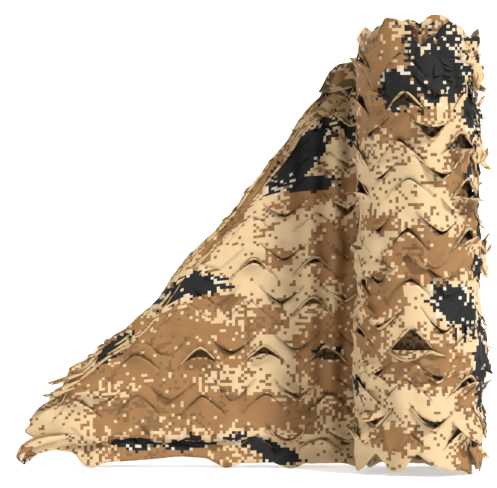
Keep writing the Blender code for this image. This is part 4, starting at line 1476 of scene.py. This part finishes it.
def printed_colour(shader, blacks, browns, seed, black_floor=-0.75, brown_floor=-0.30):
    """The print's colour in flat cloth coordinates."""
    at = shader.add("ShaderNodeUVMap", {"uv_map": "cloth"})
    cell = snapped(shader, at, CELL, CELL)
    single = chance(shader, cell, seed)
    long = chance(shader, snapped(shader, at, 3 * CELL, CELL), seed + 1)
    tall = chance(shader, snapped(shader, at, CELL, 2 * CELL), seed + 2)
    ragged = single * SINGLE_SHARE + long * LONG_SHARE + tall * TALL_SHARE - RAGGED_MIDDLE
    brown = claimed(shader, cell, browns, BROWN_CLAIM, brown_floor, seed)
    black = claimed(shader, cell, blacks, BLACK_CLAIM, black_floor, seed)
    deep = claimed(shader, cell, (), DEEP_CLAIM, 0.0, seed) + ragged * DEEP_CLAIM.ragged
    block = chance(shader, snapped(shader, at, 2 * CELL, CELL), seed + 5)
    post = chance(shader, snapped(shader, at, CELL, 2 * CELL), seed + 6)
    speck = chance(shader, cell, seed + 4) * SPECK_SINGLE + block * SPECK_PAIR + post * SPECK_PAIR
    near_brown = (1 - brown.math("ABSOLUTE") * BROWN_FADE).biggest(0)
    near_black = (1 - black.math("ABSOLUTE") * BLACK_FADE).biggest(0)
    sand = mixed(shader, (speck + near_brown * ON_SAND.near) > ON_SAND.above, SAND, OLIVE)
    earth = mixed(shader, deep > DEEP_FROM, BROWN, DEEP_BROWN)
    earth = mixed(shader, (speck + near_brown * ON_BROWN.near) > ON_BROWN.above, earth, PALE)
    soot = mixed(shader, (speck + near_black * ON_BLACK.near) > ON_BLACK.above, BLACK, CREAM)
    colour = mixed(shader, (brown + ragged * BROWN_CLAIM.ragged) > 0, sand, earth)
    return mixed(shader, (black + ragged * BLACK_CLAIM.ragged) > 0, colour, soot)


# %% [markdown]
# ## The cloth's materials
#
# The printed face, its washed-out back and the crumpled flank are the same cloth, so one function
# makes them all from different areas. The back also has a warm khaki tint, a painted glow of light
# that shines through the thin cloth. A weave finer than a millimetre is a bump, because it would
# take millions of faces. Little light gets between the tight turns of the real roll. The turns here
# stand further apart, so a dark brown is painted over their colour below the roll's rim, as painted
# shade. Along a cut, the rim of the cloth shows bare threads, pale in places and elsewhere dark
# brown, which is painted shade along the cut.

# %% The cloth's materials
WEAVE_SCALE, WEAVE_HEIGHT = 420.0, 0.15
DENT_SCALE, DENT_DETAIL = 45.0, 3.0
BUMP_STRENGTH, BUMP_DISTANCE = 0.5, 0.0016
# How fast and how far the painted shade darkens the inner turns below their rim.
PAINTED_SHADE_RATE, PAINTED_SHADE_SHARE = 40, 0.68
CLOTH_ROUGHNESS, CLOTH_SHEEN = 0.62, 0.14
RAW_SCALE, RAW_DETAIL, RAW_FROM, RAW_RATE = 48.0, 3.0, 0.56, 9


def weave_bump(shader):
    """A plain weave, finer than a millimetre, with a few slow dents."""
    at = shader.add("ShaderNodeUVMap", {"uv_map": "cloth"})
    threads = {"Vector": at, "Scale": WEAVE_SCALE}
    warp, weft = (shader.add("ShaderNodeTexWave", {"bands_direction": way}, threads) for way in "XY")
    dents = shader.add("ShaderNodeTexNoise", {}, {"Vector": at, "Scale": DENT_SCALE, "Detail": DENT_DETAIL})
    return shader.add("ShaderNodeBump", {}, {
        "Height": warp * weft * WEAVE_HEIGHT + dents, "Strength": BUMP_STRENGTH, "Distance": BUMP_DISTANCE})


def cloth_material(name, blacks, browns, seed, wash_and_glow=0.0, painted_shade_height=None, **floors):
    """The printed face of the cloth, or its washed-out back with a painted warm glow. Below a given height,
    painted shade darkens it.
    """
    shader = Shader(name)
    colour = printed_colour(shader, blacks, browns, seed, **floors)
    if painted_shade_height is not None:
        # Painted shade: below the given height, the colour fades to a dark brown.
        place = shader.add("ShaderNodeTexCoord", output=3)
        height = shader.add("ShaderNodeSeparateXYZ", {}, [place], output=2)
        depth = ((painted_shade_height - height) * PAINTED_SHADE_RATE).biggest(0).smallest(PAINTED_SHADE_SHARE)
        colour = mixed(shader, depth, colour, PAINTED_SHADE)
    # The back's warm khaki tint is partly washed-out print and partly a painted glow of light through the
    # cloth.
    shader.set(Base_Color=mixed(shader, wash_and_glow, colour, PAINTED_GLOW_KHAKI) if wash_and_glow else colour,
               Roughness=CLOTH_ROUGHNESS, Specular_IOR_Level=CLOTH_SHEEN, Normal=weave_bump(shader))
    return shader.material


def raw_edge_and_shade_material():
    """Bare threads where the cloth is cut: pale in places, elsewhere dark brown as painted shade along the
    cut.
    """
    shader = Shader("raw_edge_and_shade")
    at = shader.add("ShaderNodeTexCoord", output=3)
    shade = shader.add("ShaderNodeTexNoise", {}, {"Vector": at, "Scale": RAW_SCALE, "Detail": RAW_DETAIL})
    # The dark brown is painted shade along the cut; the pale places are bare threads.
    shader.set(Base_Color=mixed(shader, (shade - RAW_FROM) * RAW_RATE, RAW_EDGE_SHADE, RAW_PALE), Roughness=0.8)
    return shader.material


# %% Dress each cloth
BACK_WIDER, BACK_LOWER = 1.1, 0.94


def with_back(patches, own):
    """The front's areas, the same ones wider and lower on the layer behind, and that layer's own."""
    behind = [patch._replace(u=ON_BACK + BACK_WIDER * patch.u, v=patch.v * BACK_LOWER) for patch in patches]
    return [*patches, *behind, *own]


def on_roll(patches):
    """A table's areas, moved along the print to where the roll's cloth starts."""
    return [patch._replace(u=patch.u + ON_ROLL) for patch in patches]


front_print = cloth_material("front_print", with_back(FRONT_BLACK, BACK_BLACK),
                             with_back(FRONT_BROWN, BACK_BROWN), 1.0)
roll_print = cloth_material("roll_print", on_roll(ROLL_BLACK), on_roll(ROLL_BROWN), 2.0)
# The inner turns and the crown leaves take painted shade below 0.68 m.
inner_print_and_shade = cloth_material("inner_print_and_shade", (), (), 3.0, painted_shade_height=0.680, black_floor=-0.15, brown_floor=0.0)
flank_print = cloth_material("flank_print", (), (), 5.0, black_floor=0.14, brown_floor=0.0)
# The back is washed out, and tinted warm as a painted glow of light through the cloth.
cloth_back = cloth_material("cloth_back", TURNED_BLACK, (), 4.0, wash_and_glow=0.34, black_floor=-0.22,
                            brown_floor=-0.20)
raw_edge_and_shade = raw_edge_and_shade_material()
SHEETS = (
    (loose_cloth, front_print), (sheet_flaps, front_print), (outer_turn, roll_print),
    (roll_flaps, roll_print), (flank_flaps, flank_print), (inner_turns, inner_print_and_shade),
    (crown_flaps, inner_print_and_shade), (turned_flaps, cloth_back), (tip_strip, front_print),
    (sheet_curls, cloth_back), (roll_curls, cloth_back),
)
for obj, material in SHEETS:
    for each in (material, raw_edge_and_shade, cloth_back):
        obj.data.materials.append(each)
print("materials:", [material.name for material in bpy.data.materials])

# %% [markdown]
# ## Frayed edges
#
# A cut edge of cloth frays: short threads stand out of it, in the colours of the print. A texture
# could show them, but the cloth's outline would stay clean. They repeat along every metre of edge, so
# Geometry Nodes make them. One tree extrudes each open edge a little way outwards, by a random
# length, keeps only the new strip, and gives it the cloth's own material.

# %% The tree that frays a cut edge


def fraying_tree():
    """A tree that keeps only a short strip outside every open edge of a mesh."""
    tree = bpy.data.node_groups.new("fray_the_cuts", "GeometryNodeTree")
    for name, kind in (("Geometry", "Geometry"), ("Shortest", "Float"), ("Longest", "Float"),
                       ("Seed", "Int"), ("Material", "Material")):
        tree.interface.new_socket(name, in_out="INPUT", socket_type=f"NodeSocket{kind}")
    tree.interface.new_socket("Geometry", in_out="OUTPUT", socket_type="NodeSocketGeometry")

    def add(kind, inputs=None, **settings):
        """Adds a node: its settings first, then its sockets, linked or set."""
        node = tree.nodes.new(kind)
        for name, value in settings.items():
            setattr(node, name, value)
        for key, value in (inputs or {}).items():
            if isinstance(value, bpy.types.NodeSocket):
                tree.links.new(value, node.inputs[key])
            else:
                node.inputs[key].default_value = value
        return node.outputs

    given = add("NodeGroupInput")
    faces = add("GeometryNodeInputMeshEdgeNeighbors")
    is_cut = add("FunctionNodeCompare", {2: faces[0], 3: 1}, data_type="INT", operation="EQUAL")
    way = add("GeometryNodeInputNamedAttribute", {"Name": "edge_way"}, data_type="FLOAT_VECTOR")
    length = add("FunctionNodeRandomValue", {
        2: given["Shortest"], 3: given["Longest"], "Seed": given["Seed"]})
    grown = add("GeometryNodeExtrudeMesh", {
        "Mesh": given["Geometry"], "Selection": is_cut[0], "Offset": way[0], "Offset Scale": length[1]},
        mode="EDGES")
    strip = add("GeometryNodeSeparateGeometry", {
        "Geometry": grown["Mesh"], "Selection": grown["Side"]}, domain="FACE")
    real = add("GeometryNodeRealizeInstances", {0: strip["Selection"]})
    dressed = add("GeometryNodeSetMaterial", {"Geometry": real[0], "Material": given["Material"]})
    add("NodeGroupOutput", {0: dressed[0]})
    return tree


# %% Fray every cut edge
FRAY_SHORTEST, FRAY_LONGEST = 0.0002, 0.0012


def with_nodes(name, source, tree, **inputs):
    """A new plain mesh object: what a Geometry Nodes tree makes from a source object's mesh."""
    work = bpy.data.objects.new(name, source.data)
    bpy.context.scene.collection.objects.link(work)
    modifier = work.modifiers.new("nodes", "NODES")
    modifier.node_group = tree
    for item in tree.interface.items_tree:
        if item.in_out == "INPUT" and item.name in inputs:
            modifier[item.identifier] = inputs[item.name]
    made = bpy.data.meshes.new_from_object(work.evaluated_get(bpy.context.evaluated_depsgraph_get()))
    work.modifiers.remove(modifier)
    work.data = made
    return work


fray = fraying_tree()
frayed = {}
for seed, (cloth, own_print) in enumerate(SHEETS):
    mark_edge_ways(cloth)
    piece = with_nodes(f"frayed_edges_of_{cloth.name}", cloth, fray, Shortest=FRAY_SHORTEST,
                       Longest=FRAY_LONGEST, Seed=seed, Material=own_print)
    frayed[cloth.name] = piece
    print(f"{piece.name}: {len(piece.data.polygons)} faces")

# %% [markdown]
# ## Thickness
#
# The cloth is a third of a millimetre thick. A second mesh could be laid behind the first, but
# Solidify keeps the distance everywhere and closes the rim too. The rim takes the material of the
# bare threads with their painted shade, and the inner side that of the cloth's washed-out back with
# its painted glow.

# %% Give the cloth its thickness
CLOTH = 0.00035
RIM_SLOT, BACK_SLOT = 1, 2
for cloth, _ in SHEETS:
    shell = cloth.modifiers.new("thickness", "SOLIDIFY")
    shell.thickness = CLOTH
    shell.offset = 0.0
    shell.material_offset_rim = RIM_SLOT
    shell.material_offset = BACK_SLOT
    solid = bpy.data.meshes.new_from_object(cloth.evaluated_get(bpy.context.evaluated_depsgraph_get()))
    cloth.modifiers.remove(shell)
    cloth.data = solid
    print(f"{cloth.name}: {len(solid.polygons)} faces with its thickness")

# %% [markdown]
# ## The pieces on the part's body
#
# Every piece rides on the part's one body, and the plain solids that the thin cloths replace are
# hidden. Each sheet's size before it was folded or wound is in the table. The loose end narrows to
# its tip, so its cloth is only a share of that rectangle, and that area is worked out.

# %% Put every piece on the part's body
Held = namedtuple("Held", "cloth node slot flat way flaps area_share")
HELD = table(
    Held,
    (loose_cloth, "loose_sheet", "draped_cloth", (0.69, 1.44), "draped",
     (sheet_flaps, turned_flaps, tip_strip, sheet_curls), 0.60),
    (outer_turn, "wound_roll", "rolled_cloth", (0.660, 0.738), "folded",
     (roll_flaps, flank_flaps, roll_curls), None),
    (inner_turns, "wound_roll", "rolled_cloth", (spiral.length, 0.69), "folded", (crown_flaps,), None),
)
for held in HELD:
    pieces = [piece for cloth in (held.cloth, *held.flaps) for piece in (cloth, frayed[cloth.name])]
    for piece in pieces:
        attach(piece, "root")
        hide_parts(held.node)
    area = held.area_share and held.area_share * held.flat[0] * held.flat[1]
    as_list(pieces[1:])
print(f"{2 * len(SHEETS)} pieces ride on the part's one body")

# %% [markdown]
# ## Camera, floor and light
#
# The camera looks along +Y from a long way off, one and a half degrees down, so upright lines stay
# upright. Its place follows from the photo: how many pixels the roll's axis and the floor are from
# the corner, and how large a pixel is on the object. The floor is pale and sweeps up into a backdrop,
# so there is no line between them, and the light is soft, as for a catalogue picture.

# %% Camera
PIXEL = 0.00163
PHOTO_WIDTH, PHOTO_HEIGHT = 497, 488
AXIS_PIXEL, FLOOR_PIXEL = 422, 472
ELEVATION = math.radians(1.5)
DISTANCE = 6.0
SENSOR = 36
target = Vector((ROLL_X + (PHOTO_WIDTH / 2 - AXIS_PIXEL) * PIXEL, ROLL_Y,
                 (FLOOR_PIXEL - PHOTO_HEIGHT / 2) * PIXEL))
camera_data = bpy.data.cameras.new("camera")
camera_data.sensor_width = SENSOR
camera_data.lens = SENSOR * DISTANCE / (PHOTO_WIDTH * PIXEL)
camera = linked("camera", camera_data)
camera.location = target + DISTANCE * Vector((0, -math.cos(ELEVATION), math.sin(ELEVATION)))
camera.rotation_euler = (math.pi / 2 - ELEVATION, 0, 0)
bpy.context.scene.camera = camera
print(f"the camera is {DISTANCE} m away, with a lens of {camera_data.lens:.0f} mm")

# %% A floor that sweeps up into a backdrop
SWEEP_WIDTH, SWEEP_FRONT, SWEEP_BACK, SWEEP_RADIUS, SWEEP_TOP = 30.0, -12.0, 9.0, 3.0, 12.0
FLOOR_GREY, FLOOR_GLOW = 0.88, 0.52
sweep = [(SWEEP_FRONT, 0.0)]
sweep += [(SWEEP_BACK + SWEEP_RADIUS * math.sin(t), SWEEP_RADIUS * (1 - math.cos(t)))
          for t in np.linspace(0, math.pi / 2, 24)]
sweep += [(SWEEP_BACK + SWEEP_RADIUS, SWEEP_TOP)]
corners = [(x, y, z) for y, z in sweep for x in (-SWEEP_WIDTH / 2, SWEEP_WIDTH / 2)]
mesh = bpy.data.meshes.new("floor")
mesh.from_pydata(corners, [], [(i, i + 1, i + 3, i + 2) for i in range(0, len(corners) - 2, 2)])
mesh.polygons.foreach_set("use_smooth", [True] * len(mesh.polygons))
floor = linked("floor", mesh)
pale = Shader("pale_floor")
pale.set(Base_Color=(FLOOR_GREY, FLOOR_GREY, FLOOR_GREY, 1), Roughness=0.9,
         Emission_Color=(1, 1, 1, 1), Emission_Strength=FLOOR_GLOW)
floor.data.materials.append(pale.material)

# %% Soft light
WORLD_LIGHT = 0.42
world = bpy.data.worlds.new("studio")
world.use_nodes = True
background = world.node_tree.nodes["Background"]
background.inputs["Color"].default_value = (1, 1, 1, 1)
background.inputs["Strength"].default_value = WORLD_LIGHT
bpy.context.scene.world = world
Sun = namedtuple("Sun", "name azimuth height softness strength")
for sun in (
    Sun("key", azimuth=46, height=42, softness=7, strength=4.3),
    Sun("fill", azimuth=-50, height=25, softness=40, strength=0.35),
):
    data = bpy.data.lights.new(sun.name, "SUN")
    data.energy, data.angle = sun.strength, math.radians(sun.softness)
    azimuth, height = math.radians(sun.azimuth), math.radians(sun.height)
    flat = math.cos(height)
    way = Vector((math.sin(azimuth) * flat, -math.cos(azimuth) * flat, math.sin(height)))
    linked(sun.name, data).rotation_euler = way.to_track_quat("Z", "Y").to_euler()
bpy.context.scene.view_settings.view_transform = "Standard"
print("lights:", [light.name for light in bpy.data.lights])
